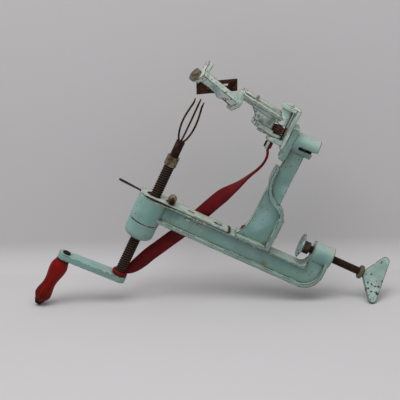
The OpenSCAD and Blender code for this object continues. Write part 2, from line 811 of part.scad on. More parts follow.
module lead_screw() {
    spigot_d = screw_d - 3;
    color(rust) {
        translate([0, 0, crank_top]) cylinder(h = screw_below + screw_above, d = screw_d);
        translate([0, 0, crank_bottom]) cylinder(h = crank_t + 1, d = spigot_d);
        translate([0, 0, screw_above - 1]) cylinder(h = collar_len + ferrule_len / 2 + 1, d = tang_d);
    }
}

module fork_collar() {
    color("#6f6f5c")
    difference() {
        translate([0, 0, collar_z]) cylinder(h = collar_len, d = collar_d);
        translate([0, 0, collar_z - 1]) cylinder(h = collar_len + 2, d = tang_d + 2 * fix_clear);
    }
}

module fork_ferrule() {
    color(rust)
    difference() {
        translate([0, 0, ferrule_z]) cylinder(h = ferrule_len, d = ferrule_d);
        translate([0, 0, ferrule_z - 1]) cylinder(h = ferrule_len / 2 + 1.5, d = tang_d + 2 * fix_clear);
        for (k = [0 : 2]) on_prong(k) translate([prong_r(0), 0, prong_z - prong_seat - face_clear])
            cylinder(h = prong_seat + face_clear + 1, d = prong_d + 2 * fix_clear);
    }
}

// Distance of a prong from the axis along its length: out to the bulge, in towards the tip
function prong_r(u) = let (base = ferrule_d / 2 - prong_d / 2 - 0.3)
    base + (prong_bulge - base) * sin(180 * pow(u, 0.8)) + (prong_tip_r - base) * u * u;

module fork_prongs() {
    rings = 16;
    foot = [for (z = [prong_z - prong_seat, prong_z]) [prong_r(0), 0, z]];
    bow = [for (i = [0 : rings]) let (u = i / rings)
        [prong_r(u), 0, prong_z + prong_rise + (prong_len - prong_rise) * u]];
    color(rust) for (k = [0 : 2]) on_prong(k) tube(concat(foot, bow), prong_d, 8, [0, 1, 0]);
}

// Turns a prong to its place round the fork
module on_prong(k) {
    rotate([0, 0, 120 * k + 75]) children();
}

// Turns a piece of the crank to the crank's angle at rest
module on_crank() {
    rotate([0, 0, 180 + crank_rest_angle]) children();
}

module crank_arm() {
    color(enamel) difference() {
        on_crank() translate([0, 0, crank_bottom])
            bar_solid(crank_t, [0, 0], crank_hub_r, [crank_r, 0], crank_end_r);
        translate([0, 0, crank_bottom - 1]) cylinder(h = crank_t + 2, d = screw_d - 3 + 2 * fix_clear);
        on_handle() translate([0, 0, -1]) cylinder(h = crank_t + 4, d = handle_pin_d + 2 * fix_clear);
    }
}

// Frame of the handle: its own axis is z, with the top of the handle at zero
module on_handle() {
    on_crank()
        translate([crank_r, 0, handle_top])
            rotate([0, -handle_lean, 0])
                children();
}

module handle_pin() {
    head_d = handle_pin_d + 4;
    head_z = crank_top - handle_top + 0.6;
    color(rust) on_handle() {
        translate([0, 0, -handle_len - end_nut_h])
            cylinder(h = handle_len + end_nut_h + head_z + 0.5, d = handle_pin_d);
        translate([0, 0, head_z]) cylinder(h = 1, d1 = head_d, d2 = head_d - 2);
    }
}

module handle_end_nut() {
    color(rust) on_handle() translate([0, 0, -handle_len - face_clear - end_nut_h])
    difference() {
        cylinder(h = end_nut_h, d1 = end_nut_d - 3, d2 = end_nut_d);
        translate([0, 0, face_clear - fix_clear])
            cylinder(h = end_nut_h + 1, d = handle_pin_d + 2 * fix_clear);
    }
}

// Turned outline of the handle: share of its length from the top, and radius
handle_stations = [
    [0, handle_d / 2 - 2.4], [0.2, handle_d / 2], [0.56, handle_waist_d / 2],
    [0.84, handle_d / 2 - 0.5], [1, end_nut_d / 2 + 0.4]
];
function eased(a, b, u) = a + (b - a) * (1 - cos(180 * u)) / 2;
module crank_handle() {
    steps = 6;
    side = [for (i = [0 : len(handle_stations) - 2], k = [0 : steps - 1])
        let (a = handle_stations[i], b = handle_stations[i + 1], u = k / steps)
        [eased(a[1], b[1], u), -handle_len * (a[0] + (b[0] - a[0]) * u)]];
    foot = handle_stations[len(handle_stations) - 1];
    color(red_paint) on_handle()
    difference() {
        rotate_extrude() polygon(concat([[0, 0]], side, [[foot[1], -handle_len], [0, -handle_len]]));
        translate([0, 0, -handle_len - 1]) cylinder(h = handle_len + 2, d = handle_pin_d + 2 * run_clear);
    }
}

// Section of the angle bar in the carrier frame: the ridge points to the front and the walls fall back
bar_lean = 47;
ridge = [ridge_q, 5.6];
bar_high = [-sin(bar_lean), cos(bar_lean)];
bar_low = [-cos(bar_lean), -sin(bar_lean)];
tongue_x = carrier_len * 0.374;
tongue_r = bar_low_w / 2;
ear_near_x = -4;
ear_far_x = carrier_len - carrier_ear_t;
module angle_section() {
    polygon([
        ridge, ridge + bar_high * bar_high_w, ridge + bar_high * bar_high_w + bar_low * bar_t,
        ridge + (bar_high + bar_low) * bar_t, ridge + bar_low * bar_low_w + bar_high * bar_t,
        ridge + bar_low * bar_low_w
    ]);
}

// Ear of the carrier, drawn across the blade axis, with a lug that rises above the bar
module carrier_ear(x, lug_from, lug_to, lug_r) {
    translate([x, 0, 0]) rotate([90, 0, 90]) linear_extrude(height = carrier_ear_t) {
        round_bar([0, 0], 5.2, ridge - [4.4, 0], 3.8);
        round_bar(lug_from, lug_r + 0.6, lug_to, lug_r);
    }
}

strut_from = [hub_d / 4, hub_z + 5];
strut_end = [carrier_p - 7, carrier_z + 12.6];
strut_slope = atan2(strut_end[1] - strut_from[1], strut_end[0] - strut_from[0]);
strut_len = norm(strut_end - strut_from);

// Leaning flange along the top of the arm's web: the worn face that shows from the front
module arm_flange() {
    translate([strut_from[0], 0, strut_from[1]]) rotate([0, -strut_slope, 0])
        translate([0, 0, arm_flange_t]) rotate([-arm_flange_lean, 0, 0]) {
            translate([0, -arm_flange_w / 2, -arm_flange_t / 2])
                cube([strut_len + 1, arm_flange_w, arm_flange_t]);
            translate([strut_len * 0.68, stop_pin_d - arm_flange_w / 2, 0])
                cylinder(h = arm_flange_t / 2 + stop_pin_d, d = stop_pin_d);
        }
}

module blade_arm() {
    leg = [[hub_d / 2 + 1, eye_z + 0.6], [carrier_p * 0.49, eye_z + 4.3]];
    leg_h = 4.4;
    web = [[carrier_p * 0.525, hub_z], [carrier_p * 0.65, hub_z + 8], [hub_d * 0.67, hub_z + 4]];
    low_edge = ridge + bar_low * (bar_low_w - 1.2) + bar_high * bar_t / 2;
    color(enamel) difference() {
        union() {
            on_arm() {
                translate([0, 0, hub_z]) cylinder(h = hub_h, d = hub_d);
                translate([0, 0, eye_z]) linear_extrude(height = eye_t)
                    round_bar([0, 0], hub_d / 2 + 0.5, [16, 0], 5);
                plate_xz(strut_t) round_bar(strut_from, 5.4, strut_end, 3.8);
                arm_flange();
                plate_xz(hub_d) polygon([leg[0], leg[1], leg[1] + [0, leg_h], leg[0] + [0, leg_h]]);
                plate_xz(strut_t - 1) polygon(concat([leg[0] + [0, 1], leg[1] + [0, 1]], web));
            }
            on_carrier() {
                translate([ear_near_x, 0, 0]) rotate([90, 0, 90])
                    linear_extrude(height = carrier_len - ear_near_x) angle_section();
                carrier_ear(ear_near_x, [4, 6], [0, 14.2], 4);
                carrier_ear(ear_far_x, [3, 7], [0, 15], 3.6);
                translate([tongue_x, low_edge[0], low_edge[1]]) rotate([bar_lean, 0, 0])
                    cylinder(h = bar_t, r = tongue_r, center = true);
            }
        }
        on_arm() translate([0, 0, eye_z - 1])
            cylinder(h = hub_z + hub_h - eye_z + 2, d = pivot_pin_d + 2 * run_clear);
        on_arm() translate([0, 0, eye_z + eye_t])
            cylinder(h = hub_z - eye_z - eye_t, r = torsion_r + torsion_wire / 2 + 1);
        on_carrier() rod_x(ear_near_x - 1, carrier_len + 1, blade_pin_d + 2 * fix_clear);
    }
}

module blade_pin() {
    color(rust) on_carrier() {
        rod_x(ear_near_x, carrier_len + 1, blade_pin_d);
        rod_x(carrier_len + 0.1, carrier_len + blade_head_len, blade_head_d);
    }
}

module peeling_blade() {
    mid_x = carrier_len * 0.453;
    mid_z = blade_w / 3;
    knuckle_r = blade_pin_d / 2 + run_clear + knuckle_wall;
    knuckle_w = blade_w / 3;
    knuckle_x = tongue_x + tongue_r + 2 * face_clear;
    color(rust) on_carrier()
    difference() {
        union() {
            translate([mid_x, -blade_q, mid_z]) rotate([90, 0, 0])
                linear_extrude(height = blade_t) rotate([0, 0, -blade_skew]) difference() {
                    square([blade_len, blade_w], center = true);
                    translate([0, 1]) square([blade_len * 0.55, 2.2], center = true);
                }
            for (x = [knuckle_x, knuckle_x + 1.6 * knuckle_w]) {
                rod_x(x, x + knuckle_w, 2 * knuckle_r);
                translate([x, -blade_q - 0.4, -knuckle_r]) cube([knuckle_w, blade_q, 2 * knuckle_r]);
            }
        }
        rod_x(0, carrier_len, blade_pin_d + 2 * run_clear);
    }
}

module pressure_pad() {
    r = pad_d / 2;
    color(enamel) translate([0, 0, clamp_z]) difference() {
        rotate([0, 90, 0]) rotate_extrude() polygon([
            [0, pad_face_x + pad_dish], [r * 0.45, pad_face_x + pad_dish], [r - 1, pad_face_x],
            [r, pad_face_x + pad_t * 0.6], [pad_socket_d / 2, pad_back_x], [pad_socket_d / 2, pad_socket_x],
            [0, pad_socket_x]
        ]);
        rod_x(clamp_tip_x - face_clear, pad_socket_x + 1, clamp_bore_d);
    }
}

// Turns the clamp screw and its wing about the screw's axis
module on_clamp() {
    translate([0, 0, clamp_z]) rotate([-wing_angle, 0, 0]) children();
}

module clamp_screw() {
    color(rust) on_clamp() {
        rod_x(clamp_tip_x, clamp_end_x + 1, clamp_d);
        rod_x(clamp_collar_x, clamp_end_x, clamp_collar_d);
    }
}

module clamp_wing() {
    outer_x = clamp_end_x + wing_len - wing_tip_r;
    wing_neck_r = 5.4;
    neck = [clamp_end_x + 5.5, 0];
    tips = [for (s = [-1, 1]) [outer_x, s * (wing_half - wing_tip_r)]];
    color(enamel) on_clamp() difference() {
        translate([0, wing_t / 2, 0]) rotate([90, 0, 0]) {
            for (tip = tips) bar_solid(wing_t, neck, wing_neck_r, tip, wing_tip_r);
            bar_solid(wing_t, tips[0], wing_tip_r, tips[1], wing_tip_r);
            linear_extrude(height = wing_t) polygon(concat([neck], tips));
        }
        translate([clamp_end_x - 8, -wing_t, -12]) cube([8 + fix_clear, 2 * wing_t, 24]);
        rod_x(clamp_end_x, clamp_end_x + 1 + fix_clear, clamp_d + 2 * fix_clear);
    }
}

stance() main_frame();
stance() thread_cap();
stance() post();
stance() post_screws();
stance() guide_pin();
stance() guide_screw();
stance() spring_stud();
stance() return_spring();
stance() pivot_bracket();
stance() stud_nut();
stance() pivot_pin();
stance() torsion_spring();
stance() strap_rivet();
stance() release_plate();
stance() strap_band();
stance() strap_eyelet();
stance() lead_screw();
stance() fork_collar();
stance() fork_ferrule();
stance() fork_prongs();
stance() crank_arm();
stance() handle_pin();
stance() handle_end_nut();
stance() crank_handle();
stance() blade_arm();
stance() blade_pin();
stance() peeling_blade();
stance() pressure_pad();
stance() clamp_screw();
stance() clamp_wing();
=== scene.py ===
"""Looks of a hand cranked fruit peeler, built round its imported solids."""
import math

import bmesh
import bpy
from bpy.props import FloatProperty, FloatVectorProperty, IntProperty, PointerProperty
from mathutils import Matrix, Vector


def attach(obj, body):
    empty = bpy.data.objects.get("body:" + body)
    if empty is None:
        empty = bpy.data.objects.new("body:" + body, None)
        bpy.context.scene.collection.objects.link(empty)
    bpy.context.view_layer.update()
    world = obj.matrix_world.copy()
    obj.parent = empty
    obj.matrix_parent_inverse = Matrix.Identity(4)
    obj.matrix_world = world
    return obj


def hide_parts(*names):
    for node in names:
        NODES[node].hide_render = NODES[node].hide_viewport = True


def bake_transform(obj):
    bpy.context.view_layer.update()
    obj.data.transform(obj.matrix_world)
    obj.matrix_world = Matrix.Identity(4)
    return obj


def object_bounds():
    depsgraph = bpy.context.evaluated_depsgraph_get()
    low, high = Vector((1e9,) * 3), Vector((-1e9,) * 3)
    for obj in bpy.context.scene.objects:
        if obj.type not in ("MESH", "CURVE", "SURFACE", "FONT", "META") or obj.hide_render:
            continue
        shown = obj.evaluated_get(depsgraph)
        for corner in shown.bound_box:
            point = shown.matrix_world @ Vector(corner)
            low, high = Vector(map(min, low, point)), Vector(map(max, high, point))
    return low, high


bl_info = {
    "name": "Fruit Peeler",
    "version": (1, 0, 0),
    "blender": (4, 5, 0),
    "location": "View3D > Sidebar > Peeler",
    "description": "Dresses the solids of a hand cranked fruit peeler",
    "category": "Object",
}

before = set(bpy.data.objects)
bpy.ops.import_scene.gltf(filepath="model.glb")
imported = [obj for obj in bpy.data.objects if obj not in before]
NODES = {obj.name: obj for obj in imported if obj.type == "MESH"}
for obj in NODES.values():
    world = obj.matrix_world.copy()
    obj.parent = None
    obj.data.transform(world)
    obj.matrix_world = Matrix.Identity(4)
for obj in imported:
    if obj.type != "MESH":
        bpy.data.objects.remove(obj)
CAD_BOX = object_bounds()
MM = 0.001

# The bench frame runs along the beam, into depth and along the feed screw, in millimetres.
# It leans by the stance, with its origin moved to the middle of the fixed jaw.
STANCE = math.radians(26.5)
JAW = Vector((126, 0, 14))
BENCH = Matrix.Rotation(STANCE, 4, "Y") @ Matrix.Translation(-JAW * MM) @ Matrix.Scale(MM, 4)

# Places in the bench frame: the clamp screw, the pivot pin, the spring stud and its cross pin,
# and the upper end and the direction of the handle
CLAMP_Z = 13.5
PIVOT_X = 81.5
STUD_X = 17
CROSS_PIN_Z = 1.3
HANDLE_TOP, HANDLE_WAY = (-57.7, -6.1, -101.8), (-0.104, -0.011, -0.994)

# Marks on the enamel that the photograph shows: place in the bench frame, size in millimetres, colour
BEAM_MARKS = (
    ((127.4, -5.5, -18.9), 4.0, "stain"), ((18, -8, -3), 3.6, "stain"), ((0, -15, -30.4), 2.2, "stain"),
    # By the clamp pad: a dark mark of dirt and painted shade between pad and boss, and a lighter patch
    ((161, -4, -3), 4.5, "grime_and_shade"), ((171, -10, 23), 10.0, "lighter_patch"),
)
# Lighter patches that lift the painted shade of upright faces
POST_MARKS = (
    ((106.4, -5, 24), 13.0, "lighter_patch"), ((103.8, -5, 14), 9.0, "lighter_patch"), ((113.6, -5, 43), 8.5, "lighter_patch"),
    ((114.3, -5, 60), 7.5, "lighter_patch"), ((110, -7, 117), 9.0, "lighter_patch"),
)
# The arm's dark marks are painted shade in its recess, under its edges and in its notch, with some dirt
ARM_MARKS = (
    ((70.4, -6, 115.2), 5.0, "grime_and_shade"), ((61.6, -8.6, 113.4), 5.0, "grime_and_shade"), ((71.4, -5.4, 120), 3.6, "grime_and_shade"),
    ((57, -10, 117.5), 3.0, "grime_and_shade"), ((46.2, -13.7, 125.4), 2.4, "grime_and_shade"), ((53, -12.5, 121), 2.6, "grime_and_shade"),
    ((59.6, -13, 110.8), 3.0, "grime_and_shade"), ((49.5, -13, 131.8), 2.2, "chip_and_deep_shade"),
)
PLATE_MARKS = (((11.5, -6, -2), 2.4, "crust"), ((16.5, -8, -2), 2.2, "stain"))
# Stretches of the release plate without enamel, its far end and its lower front edge:
# a start and an axis in the bench frame, and the distances where bare metal begins and is full
PLATE_BARE = (((83, 0, -3), (1, 0, 0), -4, -2), ((0, -9, -3), (0, -0.5, -0.87), 0.15, 0.4))

# Threads: a point and a direction of the axis in the bench frame, radius of the root and of the crest
FEED_CREST = ((0, 0, 0), (0, 0, 1), 4.85, 5.4)
CLAMP_CREST = ((0, 0, CLAMP_Z), (1, 0, 0), 3.5, 3.95)

# Studio lamps in metres and watts: name, place, aim, side of the lamp, power
LAMPS = (
    ("key_light", (-0.5, -0.54, 1.3), (-0.05, 0, 0.05), 1.1, 10.5),
    ("top_light", (0.26, -0.54, 1.3), (0.02, 0, 0.05), 1.0, 7.0),
)
SKY_STRENGTH = 0.31

# Paper in metres: half its width, its front edge, place and radius of its bend, height of its wall
PAPER_HALF, PAPER_FRONT, PAPER_BEND, PAPER_BEND_R, PAPER_TOP = 2.0, -1.4, 0.075, 0.03, 1.6
# Floor behind the wall in metres: its near edge, half its depth, and how far it lies under the paper
BEHIND_EDGE, BEHIND_HALF, BEHIND_UNDER = 0.06, 1.0, 0.4 * MM

# Camera: degrees round, up and of roll, the point it looks at in millimetres, and its lens
CAMERA_TURN, CAMERA_RISE, CAMERA_ROLL = (math.radians(a) for a in (3.27, 17.4, -1.99))
CAMERA_AIM = Vector((-75.45, 0, 36.5))
CAMERA_LENS, CAMERA_SENSOR = 99, 36

# Middle of the strap in the bench frame, its width, and the turn of its width from upright in degrees
STRAP = (
    (3.6, 6.2, -92.8, 3.6, 0), (8.2, 7.2, -88.8, 9, 0), (12, 8.6, -83, 12.6, 0), (16.6, 10.4, -74.5, 14.2, 0),
    (21, 11.6, -65, 14.5, 0), (27, 12.4, -54, 14.5, 0), (33, 12.8, -42.5, 14.5, 0), (39, 13, -31, 14.5, 0),
    (46, 13, -15, 14.5, 0), (52.5, 13, 1, 14.5, 4), (60.5, 12.2, 20, 14.5, 22), (66, 10, 31, 14.5, 56),
    (71, 7.6, 41, 14.5, 80), (77, 4.8, 56, 14.5, 98), (81.5, 3.1, 67, 14.5, 100), (83.3, 1.9, 75, 14.5, 98),
    (83.2, 0.8, 82, 13, 95), (81.8, 0, 86.2, 12, 92), (80.2, 0, 89.2, 11, 90), (80.2, 0, 90.2, 11, 90),
    (80.2, 0, 97.8, 11, 90),
)


def bench(x, y, z):
    """A point of the bench frame, in the part's own frame."""
    return BENCH @ Vector((x, y, z))


def bench_way(axis):
    """A direction of the bench frame, in the part's own frame."""
    return (BENCH.to_3x3() @ Vector(axis)).normalized()


def linear(code):
    """An sRGB hex colour as linear red, green, blue and alpha."""
    parts = [int(code[i : i + 2], 16) / 255 for i in (1, 3, 5)]
    return [c / 12.92 if c <= 0.04045 else ((c + 0.055) / 1.055) ** 2.4 for c in parts] + [1.0]


def colour(label, words, code):
    """A colour that the user may change."""
    return FloatVectorProperty(
        name=label, description=words, subtype="COLOR", size=4, min=0, max=1, default=linear(code)
    )


def length(label, words, metres):
    """A length that the user may change."""
    return FloatProperty(name=label, description=words, default=metres, unit="LENGTH")


class PeelerSizes(bpy.types.PropertyGroup):
    """Sizes of the forms that the solids leave plain."""

    feed_pitch: length("Feed pitch", "Pitch of the feed screw", 2.5 * MM)
    feed_depth: length("Feed depth", "Depth of the feed thread", 0.75 * MM)
    clamp_pitch: length("Clamp pitch", "Pitch of the clamp screw", 1.25 * MM)
    clamp_depth: length("Clamp depth", "Depth of the clamp thread", 0.55 * MM)
    strap_thick: length("Strap thickness", "Thickness of the strap", 2.4 * MM)
    strap_steps: IntProperty(
        name="Strap steps", description="Rings along the strap", default=96, min=24, max=200
    )
    tab_thick: length("Tab thickness", "Thickness of the thumb tab", 0.9 * MM)
    camera_reach: length("Camera distance", "Camera to the part", 1.1)


class PeelerColours(bpy.types.PropertyGroup):
    """Colours of the peeler, of the paper it stands on and of the light round it."""

    mint: colour("Mint", "Enamel where it is whole", "#79a6a0")
    mint_faded: colour("Faded mint", "Enamel where it has yellowed", "#829f95")
    bleached: colour("Bleached", "Enamel that light has bleached", "#c3d1c8")
    worn: colour("Worn", "Rubbed enamel and bare zinc", "#c2c2b0")
    # Also the near black painted shade in the deepest hollows
    chip_and_deep_shade: colour("Chip", "Old metal where the enamel is gone", "#2c1f19")
    # Lighter enamel at listed spots, lifting the painted shade of upright faces
    lighter_patch: colour("Wiped", "Cool enamel where the dirt is wiped off", "#8cafae")
    # Painted shade laid on upright faces
    upright_shade: colour("Film", "Thin film of dirt on upright faces", "#3a5a53")
    crust: colour("Crust", "Pale crust of old grease and rust", "#8d8468")
    stain: colour("Stain", "Yellow rust that has run", "#7d6a34")
    # Also the painted shade in corners and recesses
    grime_and_shade: colour("Grime", "Dirt that gathers in corners", "#4a5347")
    rust_dark: colour("Dark rust", "Dark side of the rust", "#1e1511")
    rust_light: colour("Light rust", "Bright side of the rust", "#543725")
    crest: colour("Crest", "Rubbed crest of a thread", "#4f3b2e")
    crest_dark: colour("Dark crest", "Stained crest of a thread", "#33241b")
    root: colour("Root", "Oily root of a thread", "#120c0a")
    plated: colour("Plated", "Worn plating of the fork collar", "#77745f")
    pad: colour("Pad", "Grey metal of the clamp pad", "#6f8a8c")
    pad_pale: colour("Pale pad", "Rubbed metal of the clamp pad", "#9fb3ac")
    red: colour("Red", "Paint of the handle", "#7d0a06")
    red_worn: colour("Worn red", "Worn paint of the handle", "#33110a")
    rubber: colour("Rubber", "Red rubber of the strap", "#6a0c13")
    rubber_dark: colour("Dark rubber", "Red rubber where it has darkened", "#560b10")
    paper: colour("Paper", "Floor and backdrop", "#c9c7c8")
    sky: colour("Sky", "Light from all round", "#f2f2f4")


# Settings that many nodes share: a smooth step between two values, and a mix of two colours
SMOOTH = {"interpolation_type": "SMOOTHSTEP"}
COLOURS = {"out": 2, "data_type": "RGBA"}


def add(tree, kind, inputs=None, out=0, **settings):
    """A new node with its settings, its inputs set to values or linked, and one of its outputs."""
    node = tree.nodes.new("ShaderNode" + kind)
    for name, value in settings.items():
        setattr(node, name, value)
    for key, value in (inputs or {}).items():
        if isinstance(value, bpy.types.NodeSocket):
            tree.links.new(value, node.inputs[key])
        else:
            node.inputs[key].default_value = value
    return node.outputs[out] if node.outputs else None


def lumps(place, size_mm, detail=3.0, rough=0.55):
    """Inputs of a noise whose lumps are about size_mm across."""
    return {"Vector": place, "Scale": 1 / (size_mm * MM), "Detail": detail, "Roughness": rough}


def new_material(name):
    """An empty node material and its tree."""
    material = bpy.data.materials.new(name)
    material.use_nodes = True
    tree = material.node_tree
    tree.nodes.clear()
    return material, tree


def close(tree, base, rough, height, depth_mm, strength, normal=None, metallic=0.0, shine=0.5):
    """The shader at the end of a material, with its bump."""
    relief = {"Strength": strength, "Distance": depth_mm * MM, "Height": height}
    if normal:
        relief["Normal"] = normal
    shader = add(tree, "BsdfPrincipled", {
        "Base Color": base, "Roughness": rough, "Metallic": metallic, "Specular IOR Level": shine,
        "Normal": add(tree, "Bump", relief),
    })
    add(tree, "OutputMaterial", {"Surface": shader})


def reach(tree, place, start, axis):
    """Distance along an axis of the bench frame, counted from a start."""
    offset = add(tree, "VectorMath", {0: place, 1: bench(*start)}, operation="SUBTRACT")
    return add(tree, "VectorMath", {0: offset, 1: bench_way(axis)}, "Value", operation="DOT_PRODUCT")


def along(tree, place, start, axis, low_mm, high_mm):
    """Rises from 0 to 1 along an axis of the bench frame, between two distances from a start."""
    run = reach(tree, place, start, axis)
    return add(tree, "MapRange", {0: run, 1: low_mm * MM, 2: high_mm * MM}, **SMOOTH)


def away(tree, place, start, axis, low_mm, high_mm):
    """Rises from 0 to 1 with the distance from an axis of the bench frame."""
    offset = add(tree, "VectorMath", {0: place, 1: bench(*start)}, operation="SUBTRACT")
    across = add(tree, "VectorMath", {0: offset, 1: bench_way(axis)}, operation="CROSS_PRODUCT")
    radius = add(tree, "VectorMath", {0: across}, "Value", operation="LENGTH")
    return add(tree, "MapRange", {0: radius, 1: low_mm * MM, 2: high_mm * MM}, **SMOOTH)


def enamel_on_casting(
    name, shades, chips=0.5, edges=0.9, top_wear_and_light=0.0, fade=0.15, upright_shade=0.26, fleck=2.4, bare_ends=(), marks=()
):
    """Brushed enamel on rough casting: soft gloss, bleached in patches, edges rubbed pale and brown, painted
    shade on upright faces and in hollows, and upward faces paler with wear and painted light.
    """
    material, tree = new_material(name)
    place = add(tree, "TexCoord", out="Object")
    soft = add(tree, "Bevel", {"Radius": 1.9 * MM}, samples=6)
    flat = add(tree, "NewGeometry", out="True Normal")
    bend = add(tree, "VectorMath", {0: soft, 1: flat}, "Value", operation="DOT_PRODUCT")
    edge = add(tree, "MapRange", {0: bend, 1: 0.997, 2: 0.93}, **SMOOTH)
    patch = add(tree, "TexNoise", lumps(place, 13, 4))
    speck = add(tree, "TexNoise", lumps(place, fleck, 3, 0.6))
    # Spots where the enamel has flaked off, gathered in patches
    cluster = add(tree, "Math", {0: patch, 1: 0.6, 2: speck}, operation="MULTIPLY_ADD")
    spots = add(tree, "MapRange", {0: cluster, 1: 1.09 - 0.14 * chips, 2: 1.12 - 0.14 * chips}, **SMOOTH)
    # Edges rubbed pale, with brown metal in the middle of the rubbed stretches
    rub = add(tree, "Math", {0: edge, 1: 0.5}, operation="MULTIPLY")
    rub = add(tree, "Math", {0: patch, 1: 0.7, 2: rub}, operation="MULTIPLY_ADD")
    rub = add(tree, "Math", {0: speck, 1: 0.3, 2: rub}, operation="MULTIPLY_ADD")
    pale = add(tree, "MapRange", {0: rub, 1: 0.98 - 0.2 * edges, 2: 1.06 - 0.2 * edges}, **SMOOTH)
    brown = add(tree, "MapRange", {0: rub, 1: 1.12 - 0.14 * edges, 2: 1.17 - 0.14 * edges}, **SMOOTH)
    upward = add(tree, "SeparateXYZ", {0: add(tree, "TexCoord", out="Normal")}, 2)
    if top_wear_and_light:
        # Faces that look up turn pale: rubbed wear broken into patches, and painted light from above
        lying = add(tree, "MapRange", {0: upward, 1: 0.35, 2: 0.8}, **SMOOTH)
        broken = add(tree, "MapRange", {0: cluster, 1: 0.55, 2: 0.95}, **SMOOTH)
        facing = add(tree, "Math", {0: lying, 1: broken}, operation="MULTIPLY")
        facing = add(tree, "Math", {0: facing, 1: top_wear_and_light}, operation="MULTIPLY")
        pale = add(tree, "Math", {0: pale, 1: facing}, operation="MAXIMUM")
    bare = add(tree, "Math", {0: spots, 1: brown}, operation="MAXIMUM")
    for end in bare_ends:
        bare = add(tree, "Math", {0: bare, 1: along(tree, place, *end)}, operation="MAXIMUM")
    # How shut in each point is, for the painted shade in hollows and corners
    hollow_shade = add(tree, "AmbientOcclusion", {"Distance": 6 * MM}, "AO", samples=8)
    wide = add(tree, "TexNoise", lumps(place, 30, 4))
    dirt = add(tree, "TexNoise", lumps(place, 19, 5, 0.6))
    metal = add(tree, "MapRange", {0: speck, 1: 0.45, 2: 0.75}, **SMOOTH)
    metal = add(tree, "Mix", {0: metal, 6: shades.chip_and_deep_shade, 7: shades.rust_light}, **COLOURS)

    # Colours laid over the whole enamel in turn: how much of each, and the colour
    layers = [
        (add(tree, "MapRange", {0: wide, 1: 0.35, 2: 0.7}, **SMOOTH), shades.mint_faded),
        (add(tree, "MapRange", {0: patch, 1: 0.25, 2: 0.75, 4: 2 * fade}, **SMOOTH), shades.bleached),
        (add(tree, "MapRange", {0: dirt, 1: 0.54, 2: 0.72, 4: 0.3}, **SMOOTH), shades.grime_and_shade),
        # Painted shade: upright faces are made darker than faces that look up
        (add(tree, "MapRange", {0: upward, 1: 0.1, 2: 0.6, 3: upright_shade, 4: 0.0}, **SMOOTH), shades.upright_shade),
    ]
    for spot, size_mm, shade in marks:
        far = add(tree, "VectorMath", {0: place, 1: bench(*spot)}, "Value", operation="DISTANCE")
        far = add(tree, "Math", {0: speck, 1: size_mm * MM, 2: far}, operation="MULTIPLY_ADD")
        near = {0: far, 1: 1.6 * size_mm * MM, 2: 0.6 * size_mm * MM, 4: 0.7}
        layers.append((add(tree, "MapRange", near, **SMOOTH), getattr(shades, shade)))
    layers += [
        (add(tree, "Math", {0: pale, 1: 0.9}, operation="MULTIPLY"), shades.worn),
        # Painted shade with the dirt in hollows and corners, and near black painted shade where they are
        # deepest
        (add(tree, "MapRange", {0: hollow_shade, 1: 0.75, 2: 0.3, 4: 0.8}, **SMOOTH), shades.grime_and_shade),
        (add(tree, "MapRange", {0: hollow_shade, 1: 0.3, 2: 0.1}, **SMOOTH), shades.chip_and_deep_shade),
        (bare, metal),
    ]
    base = shades.mint
    for share, shade in layers:
        base = add(tree, "Mix", {0: share, 6: base, 7: shade}, **COLOURS)

    rough = add(tree, "MapRange", {0: bare, 3: 0.42, 4: 0.8}, **SMOOTH)
    cast = add(tree, "TexNoise", lumps(place, 6, 2))
    cast = add(tree, "Math", {0: speck, 1: 0.3, 2: cast}, operation="MULTIPLY_ADD")
    height = add(tree, "Math", {0: bare, 1: -0.7, 2: cast}, operation="MULTIPLY_ADD")
    close(tree, base, rough, height, 0.3, 0.6, soft, shine=0.35)
    return material


def rusted_steel(name, shades, metallic=0.0, lift=0.5, crest=None):
    """Steel under old brown rust: dull, grainy, a thread oily dark in its roots and rubbed on its crest."""
    material, tree = new_material(name)
    place = add(tree, "TexCoord", out="Object")
    soft = add(tree, "Bevel", {"Radius": 0.4 * MM}, samples=4)
    coarse = add(tree, "TexNoise", lumps(place, 6, 4, 0.6))
    fine = add(tree, "TexNoise", lumps(place, 1.0, 3, 0.65))
    mixed = add(tree, "Math", {0: fine, 1: 0.4}, operation="MULTIPLY")
    mixed = add(tree, "Math", {0: coarse, 1: 0.6, 2: mixed}, operation="MULTIPLY_ADD")
    if crest:
        rubbed = add(tree, "Mix", {0: coarse, 6: shades.crest, 7: shades.crest_dark}, **COLOURS)
        base = add(tree, "Mix", {0: away(tree, place, *crest), 6: shades.root, 7: rubbed}, **COLOURS)
        # A collar that stands out past the crest keeps some of its plating
        collar = away(tree, place, *crest[:2], crest[3] + 0.3, crest[3] + 0.7)
        collar = add(tree, "Math", {0: collar, 1: coarse}, operation="MULTIPLY")
        base = add(tree, "Mix", {0: collar, 6: base, 7: shades.plated}, **COLOURS)
    else:
        light = add(tree, "MapRange", {0: mixed, 1: 0.56 - 0.16 * lift, 2: 0.72 - 0.16 * lift}, **SMOOTH)
        base = add(tree, "Mix", {0: light, 6: shades.rust_dark, 7: shades.rust_light}, **COLOURS)
    rough = add(tree, "MapRange", {0: fine, 1: 0.3, 2: 0.7, 3: 0.55, 4: 0.85}, **SMOOTH)
    close(tree, base, rough, mixed, 0.25, 0.7, soft, metallic, 0.12)
    return material


